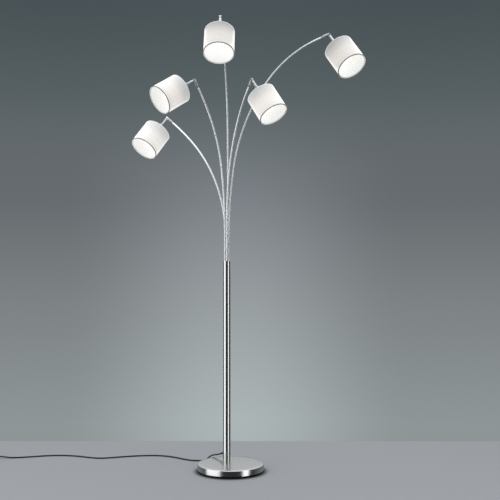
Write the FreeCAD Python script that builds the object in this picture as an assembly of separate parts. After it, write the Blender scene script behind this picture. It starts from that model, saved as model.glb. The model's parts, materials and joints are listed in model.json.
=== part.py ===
import FreeCAD, Part
import math
import os
from FreeCAD import Placement, Rotation, Vector

# A tree floor lamp: a round weighted base, one straight pole that stands off the base's centre, and five
# thin curved arms that rise from the pole's head and fan out. Each arm turns in the head, and carries a
# knuckle and a head with a lamp holder, a bulb and a round fabric shade. The mains cord leaves the foot of
# the pole, lies over the floor to a foot switch, and ends in a tied coil and a plug.
# Millimetres. The origin is the centre of the base's underside, +Z is up, and -Y is the lamp's front.

# ---------------------------------------------------------------------------------------------------
# Base
BASE_R = 150.0
BASE_TOP = 35.0
RIM_LOW = 9.0
COVER_WALL = 1.5
COVER_EDGE_R = 2.5
WEIGHT_THICK = 18.0
WEIGHT_FIT = 0.3
WEIGHT_RIB_R = 132.0
WEIGHT_RIB_W = 12.0
WEIGHT_BOSS_R = 28.0
TRAY_INSET = 7.0
TRAY_WALL = 2.0
PAD_THICK = 2.5
PAD_INSET = 2.0
RECESS_R = 18.0
BOLT_R = 5.0
BOLT_HEAD_AF = 17.0
BOLT_HEAD_H = 4.0
BOLT_REACH = 18.0
BOLT_HOLE_GAP = 0.3

# Pole, and what stands in it
POLE_X = -20.0
POLE_Y = 75.0
POLE_R = 17.5
POLE_WALL = 1.5
POLE_TOP = 950.0
INSERT_H = 20.0
PLUG_FIT = 0.05
HEAD_RECESS = 6.0
HEAD_BLOCK_H = 40.0
HEAD_SCREW_R = 2.5
HEAD_KNOB_R = 3.0
HEAD_KNOB_H = 16.0
TERMINAL_X = 20.0
TERMINAL_Y = 14.0
TERMINAL_H = 22.0
TERMINAL_DROP = 10.0
TERMINAL_BITE = 14.0

# Cord exit, low on the pole's left rear side
CORD_R = 3.2
CORD_FIT = 0.05
EXIT_Z = 64.0
EXIT_TURN = 138.0
EXIT_DROP = 20.0
GROMMET_R = 5.4
GROMMET_FLANGE_R = 7.5
GROMMET_FLANGE_H = 2.5
GROMMET_INSIDE = 3.5
RELIEF_LENGTH = 20.0
RELIEF_ROOT_R = 6.0
RELIEF_TIP_R = 4.4
RELIEF_GROOVES = 4
RELIEF_GROOVE_DEPTH = 0.7
LEAD_BEND_R = 10.0

# Arms: round tube, turning in a ring of five bores
ARM_COUNT = 5
RING_R = 9.0
RING_START = 18.0
TUBE_R = 4.0
TUBE_WALL = 1.0
TURN_GAP = 0.06
BEAD_R = 4.8
BEAD_H = 2.2
BEAD_GAP = 0.3
ARM_TAIL = 3.0
FOOT_BORE_R = 2.2
SPIGOT_LENGTH = 10.0
ARM_STRAIGHT = 36.0

# Knuckle: a fork on the arm's sleeve, a tongue on the head's stem, and one screw through both
KNUCKLE_R = 6.5
KNUCKLE_FLAT = 5.6
KNUCKLE_NECK = 11.5
TONGUE_HALF = 2.3
SLOT_HALF = 2.5
SLEEVE_LENGTH = 36.0
SLEEVE_TAPER = 10.0
SLEEVE_MOUTH_R = 4.9
SLEEVE_BORE_END = 16.0
PIVOT_R = 2.0
PIVOT_HEAD_R = 3.2
PIVOT_HEAD_PROUD = 0.8
PIVOT_SINK = 1.4
PIVOT_SLOT_W = 0.8
PIVOT_SLOT_DEPTH = 0.9

# Head, measured along its own axis from the knuckle's pivot
STEM_END = 44.0
STEM_BORE_R = 3.0
STEM_BORE_START = 16.0
CUP_R = 15.0
CUP_SHOULDER = 10.0
CUP_END = 88.0
CUP_WALL = 1.2
HOLDER_FIT = 0.2
HOLDER_COLLAR_H = 9.0
HOLDER_FLANGE_R = 18.0
HOLDER_FLANGE_H = 2.5
HOLDER_SKIRT_R = 13.9
HOLDER_SKIRT_H = 20.0
SHADE_NUT_R = 21.0
SHADE_NUT_H = 6.0
SHADE_NUT_NOTCHES = 12
SHADE_NUT_NOTCH_R = 1.6
BULB_CAP_R = 6.9
BULB_CAP_H = 24.0
BULB_CAP_GAP = 0.1
BULB_R = 22.5
BULB_NECK_R = 8.5
BULB_REACH = 57.0
BULB_GLASS = 1.2

# Shade
SHADE_R = 65.0
SHADE_TOP_R = 64.4
SHADE_H = 120.0
SHADE_START = 87.0
SHADE_WALL = 1.2
WIRE_R = 1.5
WIRE_FIT = 0.1
RING_INSET = 2.5
FITTER_THICK = 1.5
FITTER_R = 22.0
FITTER_GAP = 0.3
SPOKE_COUNT = 3

# Foot switch, coil and plug
SWITCH_X = -1180.0
SWITCH_Y = 250.0
SWITCH_LENGTH = 76.0
SWITCH_WIDTH = 46.0
SWITCH_H = 24.0
SWITCH_CORNER_R = 17.0
SWITCH_EDGE_R = 2.5
SWITCH_WALL = 2.0
SWITCH_SPLIT = 9.5
COLLAR_R = 5.5
COLLAR_LENGTH = 10.0
BUTTON_R = 13.0
BUTTON_GAP = 0.3
BUTTON_PROUD = 3.5
BUTTON_FLANGE_W = 2.0
BUTTON_FLANGE_H = 2.0
BUTTON_STEM_R = 4.0
BUTTON_TRAVEL = 3.0
BUTTON_EDGE_R = 1.2
COIL_X = -1262.0
COIL_R = 41.0
COIL_PITCH = 7.0
COIL_STEP = 7.0
COIL_TURNS = 4.5
COIL_RUN_OUT = 40.0
TIE_THICK = 0.8
TIE_GAP = 0.2
TIE_ROOM = 0.8
TIE_WIDTH = 10.0
PLUG_R = 18.5
PLUG_BODY = 34.0
PLUG_GRIP_R = 14.0
PLUG_RELIEF = 22.0
PLUG_RELIEF_R = 5.0
PLUG_LIFT = 0.1
PLUG_TURN = 5.0
PIN_R = 2.4
PIN_LENGTH = 19.0
PIN_SPACING = 19.0
PIN_ROOT = 6.0
PIN_ROOT_R = 1.9

# The free cord's route after the straight run out of the relief, chosen by hand
CORD_ROUTE = [
    (-86, 137, 43), (-103, 158, 30), (-117, 174, 14), (-136, 187, 4.5), (-160, 193, 3.4), (-192, 196, 3.3),
    (-232, 224, 3.3), (-282, 268, 3.3), (-345, 300, 3.3), (-420, 301, 3.3), (-500, 284, 3.3),
    (-575, 256, 3.3), (-632, 238, 3.3), (-690, 259, 3.3), (-755, 290, 3.3), (-830, 305, 3.3),
    (-905, 296, 3.3), (-975, 272, 3.3), (-1038, 254, 3.3), (-1074, 251, 4.6), (-1102, 250, 9.5),
]
CORD_FIRST_RUN = 27.0
CORD_ARC_SHARE = 0.45

# Each arm: its bore in the ring, counted from the right round the front; its knuckle's pivot from the
# pole's axis; the way its head points; its lower and middle bends as radius and degrees; and how far its
# end leans from upright. The upper bend's radius follows from these.
ARMS = {
    "far_right": {"bore": 0, "elbow": (447, -252, 1927), "aim": (65, -71, -116),
                  "lower": (2200, 8.5), "middle": (800, 28.5), "lean": 76.0},
    "right_low": {"bore": 1, "elbow": (114, -180, 1748), "aim": (68, -54, -119),
                  "lower": (2600, 4.0), "middle": (900, 20.0), "lean": 39.5},
    "left_high": {"bore": 2, "elbow": (-141, -124, 1757), "aim": (-103, -70, -76),
                  "lower": (2600, 7.0), "middle": (800, 18.5), "lean": 34.0},
    "left_low": {"bore": 3, "elbow": (-285, 106, 1625), "aim": (-71, -67, -112),
                 "lower": (1650, 4.0), "middle": (650, 38.5), "lean": 50.0},
    "centre": {"bore": 4, "elbow": (-21, -272, 1998), "aim": (-2, -72, -129),
               "lower": (7000, 3.5), "middle": (520, 19.0), "lean": 52.0},
}

# ---------------------------------------------------------------------------------------------------
# Places worked out from the sizes
UP = Vector(0, 0, 1)
POLE_AXIS = Vector(POLE_X, POLE_Y, 0)
COVER_INNER_R = BASE_R - COVER_WALL
COVER_INNER_TOP = BASE_TOP - COVER_WALL
POLE_BORE_R = POLE_R - POLE_WALL
HEAD_TOP = POLE_TOP - HEAD_RECESS
HEAD_LOW = HEAD_TOP - HEAD_BLOCK_H
ARM_FOOT = HEAD_LOW - BEAD_GAP - BEAD_H - ARM_TAIL
TERMINAL_TOP = HEAD_LOW - TERMINAL_DROP
TERMINAL_LOW = TERMINAL_TOP - TERMINAL_H
HOLDER_SEAT = CUP_END + HOLDER_COLLAR_H + HOLDER_FLANGE_H
FITTER_END = HOLDER_SEAT + FITTER_THICK
HOLDER_END = HOLDER_SEAT + HOLDER_SKIRT_H
BULB_CAP_START = HOLDER_END - HOLDER_SKIRT_H + 1.0
BULB_CAP_END = BULB_CAP_START + BULB_CAP_H
BULB_CENTRE = HOLDER_SEAT + BULB_REACH
SHADE_END = SHADE_START + SHADE_H
PORT_Z = SWITCH_SPLIT
COIL_Z = TIE_THICK + 2 * TIE_GAP + CORD_R
PLUG_Z = PLUG_R + PLUG_LIFT


def at(x, y, z):
    return Placement(Vector(x, y, z), Rotation())


def facing(origin, z_dir, x_dir):
    """The placement that puts a local Z along z_dir and a local X near x_dir."""
    return Placement(origin, Rotation(x_dir, Vector(), z_dir, "ZXY"))


def placed(shape, placement):
    moved = shape.copy()
    moved.Placement = placement.multiply(moved.Placement)
    return moved


def rod(radius, low, high, centre=Vector()):
    return Part.makeCylinder(radius, high - low, Vector(centre.x, centre.y, low))


def ring(outer, inner, low, high, centre=Vector()):
    return rod(outer, low, high, centre).cut(rod(inner, low, high, centre))


def cross_rod(radius, low, high, z=0.0):
    """A rod along the local X axis, at height z."""
    return Part.makeCylinder(radius, high - low, Vector(low, 0, z), Vector(1, 0, 0))


def slab(x_low, x_high, y_low, y_high, z_low, z_high):
    return Part.makeBox(x_high - x_low, y_high - y_low, z_high - z_low, Vector(x_low, y_low, z_low))


def turned(profile):
    """A solid turned about Z from (radius, height) points."""
    points = [Vector(r, 0, z) for r, z in profile]
    face = Part.Face(Part.makePolygon(points + points[:1]))
    return face.revolve(Vector(), UP, 360)


def edges_where(shape, keep):
    return [edge for edge in shape.Edges if keep(edge)]


def arc_through(start, tangent, end):
    """The arc that leaves start along tangent and reaches end."""
    chord = end - start
    along = Vector(chord).normalize()
    side = tangent - along * tangent.dot(along)
    if side.Length < 1e-6:
        return Part.LineSegment(start, end).toShape()
    side.normalize()
    half_turn = tangent.getAngle(along)
    middle = (start + end) * 0.5 + side * (chord.Length / 2 * math.tan(half_turn / 2))
    return Part.Arc(start, middle, end).toShape()


def biarc(start, start_dir, end, end_dir):
    """Two tangent arcs from start to end, leaving and arriving along the given directions."""
    chord = end - start
    both = start_dir + end_dir
    a = 2 * (start_dir.dot(end_dir) - 1)
    b = -2 * chord.dot(both)
    c = chord.dot(chord)
    if abs(a) < 1e-9:
        reach = -c / b
    else:
        reach = (-b - math.sqrt(b * b - 4 * a * c)) / (2 * a)
    joint = (start + start_dir * reach + end - end_dir * reach) * 0.5
    first = arc_through(start, start_dir, joint)
    joint_dir = (end - end_dir * reach - start - start_dir * reach).normalize()
    return [first, arc_through(joint, joint_dir, end)]


def piped(edges, radius):
    """A round bar of the given radius along tangent edges."""
    path = Part.Wire(edges)
    first = path.OrderedEdges[0]
    start = first.valueAt(first.FirstParameter)
    circle = Part.Wire(Part.makeCircle(radius, start, first.tangentAt(first.FirstParameter)))
    shell = Part.BRepOffsetAPI.MakePipeShell(path)
    shell.add(circle)
    shell.build()
    shell.makeSolid()
    return shell.shape()


def straight_and_arcs(points):
    """Straight runs between points, joined by tangent arcs as large as the runs allow."""
    edges = []
    radii = []
    last = points[0]
    for before, corner, after in zip(points, points[1:], points[2:]):
        run_in = corner - before
        run_out = after - corner
        cut_back = CORD_ARC_SHARE * min(run_in.Length, run_out.Length)
        turn = run_in.getAngle(run_out)
        radii.append(cut_back / math.tan(turn / 2))
        arc_start = corner - Vector(run_in).normalize() * cut_back
        arc_end = corner + Vector(run_out).normalize() * cut_back
        edges.append(Part.LineSegment(last, arc_start).toShape())
        edges.append(arc_through(arc_start, Vector(run_in).normalize(), arc_end))
        last = arc_end
    edges.append(Part.LineSegment(last, points[-1]).toShape())
    return edges, radii


def tell_tube(name, solid, edges, radii):
    length = sum(edge.Length for edge in edges)
    share = solid.Volume / (math.pi * CORD_R ** 2 * length)
    least = min(radii)
    print(f"{name}: {length:.0f} mm long, tightest bend {least:.0f} mm, volume {share:.4f} of section x length")


# ---------------------------------------------------------------------------------------------------
# Base: spun cover, cast weight, black tray, foam pad, and the bolt that holds the pole
def bolt_hole(low, high):
    return rod(BOLT_R + BOLT_HOLE_GAP, low, high, POLE_AXIS)


def make_base_cover():
    shell = rod(BASE_R, RIM_LOW, BASE_TOP)
    top_edge = edges_where(shell, lambda e: abs(e.BoundBox.ZMin - BASE_TOP) < 0.01)
    shell = shell.makeFillet(COVER_EDGE_R, top_edge)
    hollow = rod(COVER_INNER_R, RIM_LOW, COVER_INNER_TOP)
    return shell.cut(hollow).cut(bolt_hole(RIM_LOW, BASE_TOP))


def make_base_weight():
    disc = rod(COVER_INNER_R - WEIGHT_FIT, RIM_LOW, RIM_LOW + WEIGHT_THICK)
    rib = ring(WEIGHT_RIB_R, WEIGHT_RIB_R - WEIGHT_RIB_W, RIM_LOW, COVER_INNER_TOP)
    boss = rod(WEIGHT_BOSS_R, RIM_LOW, COVER_INNER_TOP, POLE_AXIS)
    return disc.fuse([rib, boss]).removeSplitter().cut(bolt_hole(RIM_LOW, COVER_INNER_TOP))


def make_base_tray():
    outside = BASE_R - TRAY_INSET
    plate = rod(outside, PAD_THICK, PAD_THICK + TRAY_WALL)
    wall = ring(outside, outside - TRAY_WALL, PAD_THICK, RIM_LOW)
    boss = rod(RECESS_R + TRAY_WALL, PAD_THICK, RIM_LOW, POLE_AXIS)
    recess = rod(RECESS_R, PAD_THICK, RIM_LOW - TRAY_WALL, POLE_AXIS)
    body = plate.fuse([wall, boss]).removeSplitter()
    return body.cut(recess).cut(bolt_hole(PAD_THICK, RIM_LOW))


def make_base_pad():
    pad = rod(BASE_R - TRAY_INSET - PAD_INSET, 0, PAD_THICK)
    return pad.cut(rod(RECESS_R, 0, PAD_THICK, POLE_AXIS))


def make_foot_bolt():
    head_top = RIM_LOW - TRAY_WALL
    corner_r = BOLT_HEAD_AF / 2 / math.cos(math.pi / 6)
    corners = [
        Vector(POLE_X + corner_r * math.cos(i * math.pi / 3), POLE_Y + corner_r * math.sin(i * math.pi / 3), 0)
        for i in range(6)
    ]
    hexagon = Part.Face(Part.makePolygon(corners + corners[:1]))
    hexagon.translate(Vector(0, 0, head_top - BOLT_HEAD_H))
    head = hexagon.extrude(Vector(0, 0, BOLT_HEAD_H))
    shank = rod(BOLT_R, head_top - BOLT_HEAD_H / 2, BASE_TOP + BOLT_REACH, POLE_AXIS)
    return head.fuse(shank).removeSplitter()


# ---------------------------------------------------------------------------------------------------
# Pole, its foot insert, the block that the arms turn in, and the wiring inside
EXIT_HEADING = math.radians(EXIT_TURN)
EXIT_LEVEL = Vector(math.cos(EXIT_HEADING), math.sin(EXIT_HEADING), 0)
EXIT_DIR = EXIT_LEVEL * math.cos(math.radians(EXIT_DROP)) - UP * math.sin(math.radians(EXIT_DROP))
EXIT_POINT = POLE_AXIS + EXIT_LEVEL * POLE_R + UP * EXIT_Z
RELIEF_TIP = EXIT_POINT + EXIT_DIR * RELIEF_LENGTH
EXIT_FRAME = facing(EXIT_POINT, EXIT_DIR, UP)


def bore_point(number, height):
    """A point on the axis of one bore of the ring of arms."""
    angle = math.radians(RING_START + 360.0 / ARM_COUNT * number)
    return POLE_AXIS + Vector(RING_R * math.cos(angle), -RING_R * math.sin(angle), height)


def make_pole():
    tube = ring(POLE_R, POLE_BORE_R, BASE_TOP, POLE_TOP, POLE_AXIS)
    return tube.cut(placed(rod(GROMMET_R + CORD_FIT, -POLE_R, POLE_R / 2), EXIT_FRAME))


def make_pole_insert():
    return ring(POLE_BORE_R - PLUG_FIT, BOLT_R + PLUG_FIT, BASE_TOP, BASE_TOP + INSERT_H, POLE_AXIS)


def make_pole_head():
    block = ring(POLE_BORE_R - PLUG_FIT, HEAD_SCREW_R + PLUG_FIT, HEAD_LOW, HEAD_TOP, POLE_AXIS)
    for number in range(ARM_COUNT):
        block = block.cut(rod(TUBE_R + TURN_GAP, HEAD_LOW, HEAD_TOP, bore_point(number, 0)))
    return block


def make_head_screw():
    dome_start = HEAD_TOP + HEAD_KNOB_H - HEAD_KNOB_R
    shank = rod(HEAD_SCREW_R, TERMINAL_TOP - TERMINAL_BITE, HEAD_TOP + HEAD_KNOB_H / 2, POLE_AXIS)
    knob = rod(HEAD_KNOB_R, HEAD_TOP, dome_start, POLE_AXIS)
    dome = Part.makeSphere(HEAD_KNOB_R, POLE_AXIS + UP * dome_start)
    return shank.fuse([knob, dome]).removeSplitter()


def make_terminal_block():
    block = slab(-TERMINAL_X / 2, TERMINAL_X / 2, -TERMINAL_Y / 2, TERMINAL_Y / 2, TERMINAL_LOW, TERMINAL_TOP)
    block = placed(block, Placement(POLE_AXIS, Rotation()))
    return block.cut(rod(HEAD_SCREW_R + PLUG_FIT, TERMINAL_TOP - TERMINAL_BITE, TERMINAL_TOP, POLE_AXIS))


def make_pole_lead():
    corner = EXIT_POINT - EXIT_DIR * (POLE_R / math.cos(math.radians(EXIT_DROP)))
    turn = math.radians(90 - EXIT_DROP)
    cut_back = LEAD_BEND_R * math.tan(turn / 2)
    bend_start = corner + EXIT_DIR * cut_back
    bend_end = corner + UP * cut_back
    top = Vector(POLE_X, POLE_Y, TERMINAL_LOW)
    edges = [
        Part.LineSegment(RELIEF_TIP, bend_start).toShape(),
        arc_through(bend_start, EXIT_DIR * -1, bend_end),
        Part.LineSegment(bend_end, top).toShape(),
    ]
    return piped(edges, CORD_R)


def make_cord_grommet():
    """A bush through the pole's wall, with a saddle flange and a grooved, tapered strain relief."""
    outline = [(0, -POLE_R), (GROMMET_FLANGE_R, -POLE_R), (GROMMET_FLANGE_R, GROMMET_FLANGE_H)]
    step = (RELIEF_LENGTH - GROMMET_FLANGE_H) / (2 * RELIEF_GROOVES + 1)
    taper = (RELIEF_ROOT_R - RELIEF_TIP_R) / (RELIEF_LENGTH - GROMMET_FLANGE_H)
    for index in range(2 * RELIEF_GROOVES + 1):
        low = GROMMET_FLANGE_H + index * step
        depth = RELIEF_GROOVE_DEPTH * (index % 2)
        outline.append((RELIEF_ROOT_R - taper * index * step - depth, low))
        outline.append((RELIEF_ROOT_R - taper * (index + 1) * step - depth, low + step))
    outline.append((0, RELIEF_LENGTH))
    outside = placed(turned(outline), EXIT_FRAME)
    outside = outside.cut(rod(POLE_R + PLUG_FIT, 0, EXIT_Z + BASE_TOP, POLE_AXIS))
    bush = placed(rod(GROMMET_R, -POLE_WALL - GROMMET_INSIDE, GROMMET_FLANGE_H), EXIT_FRAME)
    bore = placed(rod(CORD_R + CORD_FIT, -POLE_R, RELIEF_LENGTH), EXIT_FRAME)
    return outside.fuse(bush).removeSplitter().cut(bore)


# ---------------------------------------------------------------------------------------------------
# Arms: an upright foot in the ring, three tangent bends in one upright plane, and a straight end
def arm_plan(arm):
    """The arm's plane, its bends as (radius, turn in radians) and the height where they start."""
    elbow = POLE_AXIS + Vector(*arm["elbow"])
    foot = bore_point(arm["bore"], ARM_FOOT)
    level = Vector(elbow.x - foot.x, elbow.y - foot.y, 0)
    reach = level.Length
    level.normalize()
    lower_r, lower_turn = arm["lower"][0], math.radians(arm["lower"][1])
    middle_r, middle_turn = arm["middle"][0], math.radians(arm["middle"][1])
    lean = math.radians(arm["lean"])
    low_lean = lower_turn + middle_turn
    out = lower_r * (1 - math.cos(lower_turn)) + middle_r * (math.cos(lower_turn) - math.cos(low_lean))
    rise = lower_r * math.sin(lower_turn) + middle_r * (math.sin(low_lean) - math.sin(lower_turn))
    upper_r = (reach - out - ARM_STRAIGHT * math.sin(lean)) / (math.cos(low_lean) - math.cos(lean))
    rise += upper_r * (math.sin(lean) - math.sin(low_lean)) + ARM_STRAIGHT * math.cos(lean)
    bends = [(lower_r, lower_turn), (middle_r, middle_turn), (upper_r, lean - low_lean)]
    end_dir = level * math.sin(lean) + UP * math.cos(lean)
    return {"elbow": elbow, "foot": foot, "level": level, "bends": bends, "start": elbow.z - rise, "dir": end_dir}


def head_plan(arm):
    """The knuckle's pivot, the arm's end direction, the head's direction and the pivot screw's axis."""
    plan = arm_plan(arm)
    aim = Vector(*arm["aim"]).normalize()
    screw = plan["dir"].cross(aim).normalize()
    return plan["elbow"], plan["dir"], aim, screw


def arm_edges(arm):
    plan = arm_plan(arm)
    point = plan["foot"]
    lean = 0.0
    edges = [Part.LineSegment(point, Vector(point.x, point.y, plan["start"])).toShape()]
    point = Vector(point.x, point.y, plan["start"])
    for radius, turn in plan["bends"]:
        tangent = plan["level"] * math.sin(lean) + UP * math.cos(lean)
        inward = plan["level"] * math.cos(lean) - UP * math.sin(lean)
        lean += turn
        centre = point + inward * radius
        end = centre - (plan["level"] * math.cos(lean) - UP * math.sin(lean)) * radius
        edges.append(arc_through(point, tangent, end))
        point = end
    tube_end = plan["elbow"] - plan["dir"] * SLEEVE_BORE_END
    edges.append(Part.LineSegment(point, tube_end).toShape())
    return edges


def make_arm_tube(arm):
    """The straight turned foot with its two beads and a spigot, and the bent tube pushed onto the spigot."""
    bends = arm_edges(arm)[1:]
    plan = arm_plan(arm)
    foot = rod(TUBE_R, ARM_FOOT, plan["start"], plan["foot"])
    low_bead = rod(BEAD_R, HEAD_LOW - BEAD_GAP - BEAD_H, HEAD_LOW - BEAD_GAP, plan["foot"])
    top_bead = rod(BEAD_R, HEAD_TOP + BEAD_GAP, HEAD_TOP + BEAD_GAP + BEAD_H, plan["foot"])
    spigot = rod(TUBE_R - TUBE_WALL - PLUG_FIT, plan["start"], plan["start"] + SPIGOT_LENGTH, plan["foot"])
    bore = rod(FOOT_BORE_R, ARM_FOOT, plan["start"] + SPIGOT_LENGTH, plan["foot"])
    foot = foot.fuse([low_bead, top_bead, spigot]).cut(bore)
    return Part.makeCompound([foot, piped(bends, TUBE_R).cut(piped(bends, TUBE_R - TUBE_WALL))])


def knuckle_end(length):
    """A round bar with a rounded end about the pivot, milled flat beside it."""
    bar = rod(KNUCKLE_R, -KNUCKLE_R, length)
    nose = cross_rod(KNUCKLE_R, -KNUCKLE_R, KNUCKLE_R)
    bar = bar.common(nose.fuse(slab(-KNUCKLE_R, KNUCKLE_R, -KNUCKLE_R, KNUCKLE_R, 0, length)))
    for low, high in ((-KNUCKLE_R - 1, -KNUCKLE_FLAT), (KNUCKLE_FLAT, KNUCKLE_R + 1)):
        bar = bar.cut(slab(low, high, -KNUCKLE_R, KNUCKLE_R, -KNUCKLE_R, KNUCKLE_NECK))
    return bar


def make_arm_sleeve(arm):
    elbow, end_dir, _, screw = head_plan(arm)
    body = knuckle_end(SLEEVE_LENGTH - SLEEVE_TAPER)
    taper = Part.makeCone(KNUCKLE_R, SLEEVE_MOUTH_R, SLEEVE_TAPER, Vector(0, 0, SLEEVE_LENGTH - SLEEVE_TAPER))
    body = body.fuse(taper).removeSplitter()
    body = body.cut(slab(-SLOT_HALF, SLOT_HALF, -KNUCKLE_R, KNUCKLE_R, -KNUCKLE_R, KNUCKLE_NECK))
    body = body.cut(rod(TUBE_R + TURN_GAP, SLEEVE_BORE_END, SLEEVE_LENGTH))
    body = body.cut(rod(STEM_BORE_R, KNUCKLE_NECK, SLEEVE_BORE_END))
    body = body.cut(cross_rod(PIVOT_R + PLUG_FIT, -KNUCKLE_R, KNUCKLE_R))
    body = body.cut(cross_rod(PIVOT_HEAD_R + 0.2, KNUCKLE_FLAT - PIVOT_SINK, KNUCKLE_R))
    return placed(body, facing(elbow, end_dir * -1, screw))


def make_pivot_screw(arm):
    elbow, end_dir, _, screw = head_plan(arm)
    head_top = KNUCKLE_FLAT + PIVOT_HEAD_PROUD
    shank = cross_rod(PIVOT_R, -KNUCKLE_FLAT, KNUCKLE_FLAT)
    head = cross_rod(PIVOT_HEAD_R, KNUCKLE_FLAT - PIVOT_SINK, head_top)
    slot = slab(head_top - PIVOT_SLOT_DEPTH, head_top, -PIVOT_HEAD_R, PIVOT_HEAD_R, -PIVOT_SLOT_W / 2, PIVOT_SLOT_W / 2)
    return placed(shank.fuse(head).removeSplitter().cut(slot), facing(elbow, end_dir * -1, screw))


# ---------------------------------------------------------------------------------------------------
# Heads: stem and cup, lamp holder, bulb, shade frame and shade, along the head's own axis
def make_head_cup():
    stem = knuckle_end(STEM_END)
    for low, high in ((-KNUCKLE_R - 1, -TONGUE_HALF), (TONGUE_HALF, KNUCKLE_R + 1)):
        stem = stem.cut(slab(low, high, -KNUCKLE_R, KNUCKLE_R, -KNUCKLE_R, KNUCKLE_NECK))
    cup = turned([
        (0, STEM_END - 2), (KNUCKLE_R, STEM_END - 2), (KNUCKLE_R + 1.5, STEM_END),
        (CUP_R - 1.5, STEM_END + CUP_SHOULDER - 2), (CUP_R, STEM_END + CUP_SHOULDER), (CUP_R, CUP_END), (0, CUP_END),
    ])
    hollow = rod(CUP_R - CUP_WALL, STEM_END + CUP_SHOULDER + CUP_WALL, CUP_END)
    passage = rod(STEM_BORE_R, STEM_BORE_START, CUP_END)
    body = stem.fuse(cup).removeSplitter().cut(hollow).cut(passage)
    return body.cut(cross_rod(PIVOT_R + TURN_GAP, -KNUCKLE_R, KNUCKLE_R))


def make_lamp_holder():
    body_r = CUP_R - CUP_WALL - HOLDER_FIT
    body = turned([
        (0, STEM_END + CUP_SHOULDER + CUP_WALL), (body_r, STEM_END + CUP_SHOULDER + CUP_WALL), (body_r, CUP_END),
        (CUP_R, CUP_END), (CUP_R, CUP_END + HOLDER_COLLAR_H), (HOLDER_FLANGE_R, CUP_END + HOLDER_COLLAR_H),
        (HOLDER_FLANGE_R, HOLDER_SEAT), (HOLDER_SKIRT_R, HOLDER_SEAT), (HOLDER_SKIRT_R, HOLDER_END), (0, HOLDER_END),
    ])
    body = body.cut(rod(BULB_CAP_R + BULB_CAP_GAP, BULB_CAP_START - 0.5, HOLDER_END))
    nut = ring(SHADE_NUT_R, HOLDER_SKIRT_R + PLUG_FIT, FITTER_END, FITTER_END + SHADE_NUT_H)
    for index in range(SHADE_NUT_NOTCHES):
        angle = 2 * math.pi * index / SHADE_NUT_NOTCHES
        centre = Vector(SHADE_NUT_R * math.cos(angle), SHADE_NUT_R * math.sin(angle), 0)
        nut = nut.cut(rod(SHADE_NUT_NOTCH_R, FITTER_END, FITTER_END + SHADE_NUT_H, centre))
    return Part.makeCompound([body, nut])


def make_bulb():
    """A round bulb: a screw cap, a short neck and a ball, its glass hollow."""
    half_width = 0.75 * BULB_R
    meet = BULB_CENTRE - math.sqrt(BULB_R ** 2 - half_width ** 2)
    cap = rod(BULB_CAP_R, BULB_CAP_START, BULB_CAP_END)
    neck = turned([(0, BULB_CAP_END), (BULB_NECK_R, BULB_CAP_END), (half_width, meet), (0, meet)])
    ball = Part.makeSphere(BULB_R, Vector(0, 0, BULB_CENTRE))
    inside = Part.makeSphere(BULB_R - BULB_GLASS, Vector(0, 0, BULB_CENTRE))
    return cap.fuse([neck, ball]).removeSplitter().cut(inside)


def shade_radius(along):
    """The shade's outside radius at a place along the head's axis."""
    return SHADE_TOP_R + (SHADE_R - SHADE_TOP_R) * (along - SHADE_START) / SHADE_H


def make_shade_fabric():
    outside = Part.makeCone(SHADE_TOP_R, SHADE_R, SHADE_H, Vector(0, 0, SHADE_START))
    inside = Part.makeCone(SHADE_TOP_R - SHADE_WALL, SHADE_R - SHADE_WALL, SHADE_H, Vector(0, 0, SHADE_START))
    return outside.cut(inside)


def make_shade_frame():
    """A ring at each end of the shade, and three spokes from the upper ring to the fitter."""
    top = SHADE_START + RING_INSET
    low = SHADE_END - RING_INSET
    top_r = shade_radius(top) - SHADE_WALL - WIRE_FIT - WIRE_R
    low_r = shade_radius(low) - SHADE_WALL - WIRE_FIT - WIRE_R
    top_ring = Part.makeTorus(top_r, WIRE_R, Vector(0, 0, top))
    low_ring = Part.makeTorus(low_r, WIRE_R, Vector(0, 0, low))
    fitter = ring(FITTER_R, HOLDER_SKIRT_R + FITTER_GAP, HOLDER_SEAT, FITTER_END)
    inner_r = FITTER_R - WIRE_R
    spokes = []
    for index in range(SPOKE_COUNT):
        angle = 2 * math.pi * index / SPOKE_COUNT
        way = Vector(math.cos(angle), math.sin(angle), 0)
        inner_end = way * inner_r + UP * (HOLDER_SEAT + FITTER_THICK / 2)
        outer_end = way * top_r + UP * top
        run = outer_end - inner_end
        spokes.append(Part.makeCylinder(WIRE_R, run.Length, inner_end, run))
    clear = rod(SHADE_NUT_R + FITTER_GAP, FITTER_END, FITTER_END + 2 * WIRE_R)
    collar = rod(HOLDER_FLANGE_R + FITTER_GAP, HOLDER_SEAT - 2 * WIRE_R, HOLDER_SEAT)
    spider = fitter.fuse([spoke.cut(clear).cut(collar) for spoke in spokes]).fuse(top_ring)
    return Part.makeCompound([spider.removeSplitter(), low_ring])


# ---------------------------------------------------------------------------------------------------
# Free cord, foot switch, coil with its tie, and plug
def make_cord_lead():
    last = Vector(SWITCH_X + SWITCH_LENGTH / 2 + COLLAR_LENGTH, SWITCH_Y, PORT_Z)
    points = [RELIEF_TIP, RELIEF_TIP + EXIT_DIR * CORD_FIRST_RUN]
    points += [Vector(*point) for point in CORD_ROUTE]
    points.append(last)
    edges, radii = straight_and_arcs(points)
    solid = piped(edges, CORD_R)
    tell_tube("cord_lead", solid, edges, radii)
    print("cord_lead radii:", " ".join(f"{radius:.0f}" for radius in radii))
    return solid


def stadium(x_half, y_half, corner, low, high):
    """A block with upright rounded corners, about the switch's centre."""
    block = slab(-x_half, x_half, -y_half, y_half, low, high)
    upright = edges_where(block, lambda e: e.BoundBox.ZLength > high - low - 0.01)
    return placed(block.makeFillet(corner, upright), at(SWITCH_X, SWITCH_Y, 0))


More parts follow.
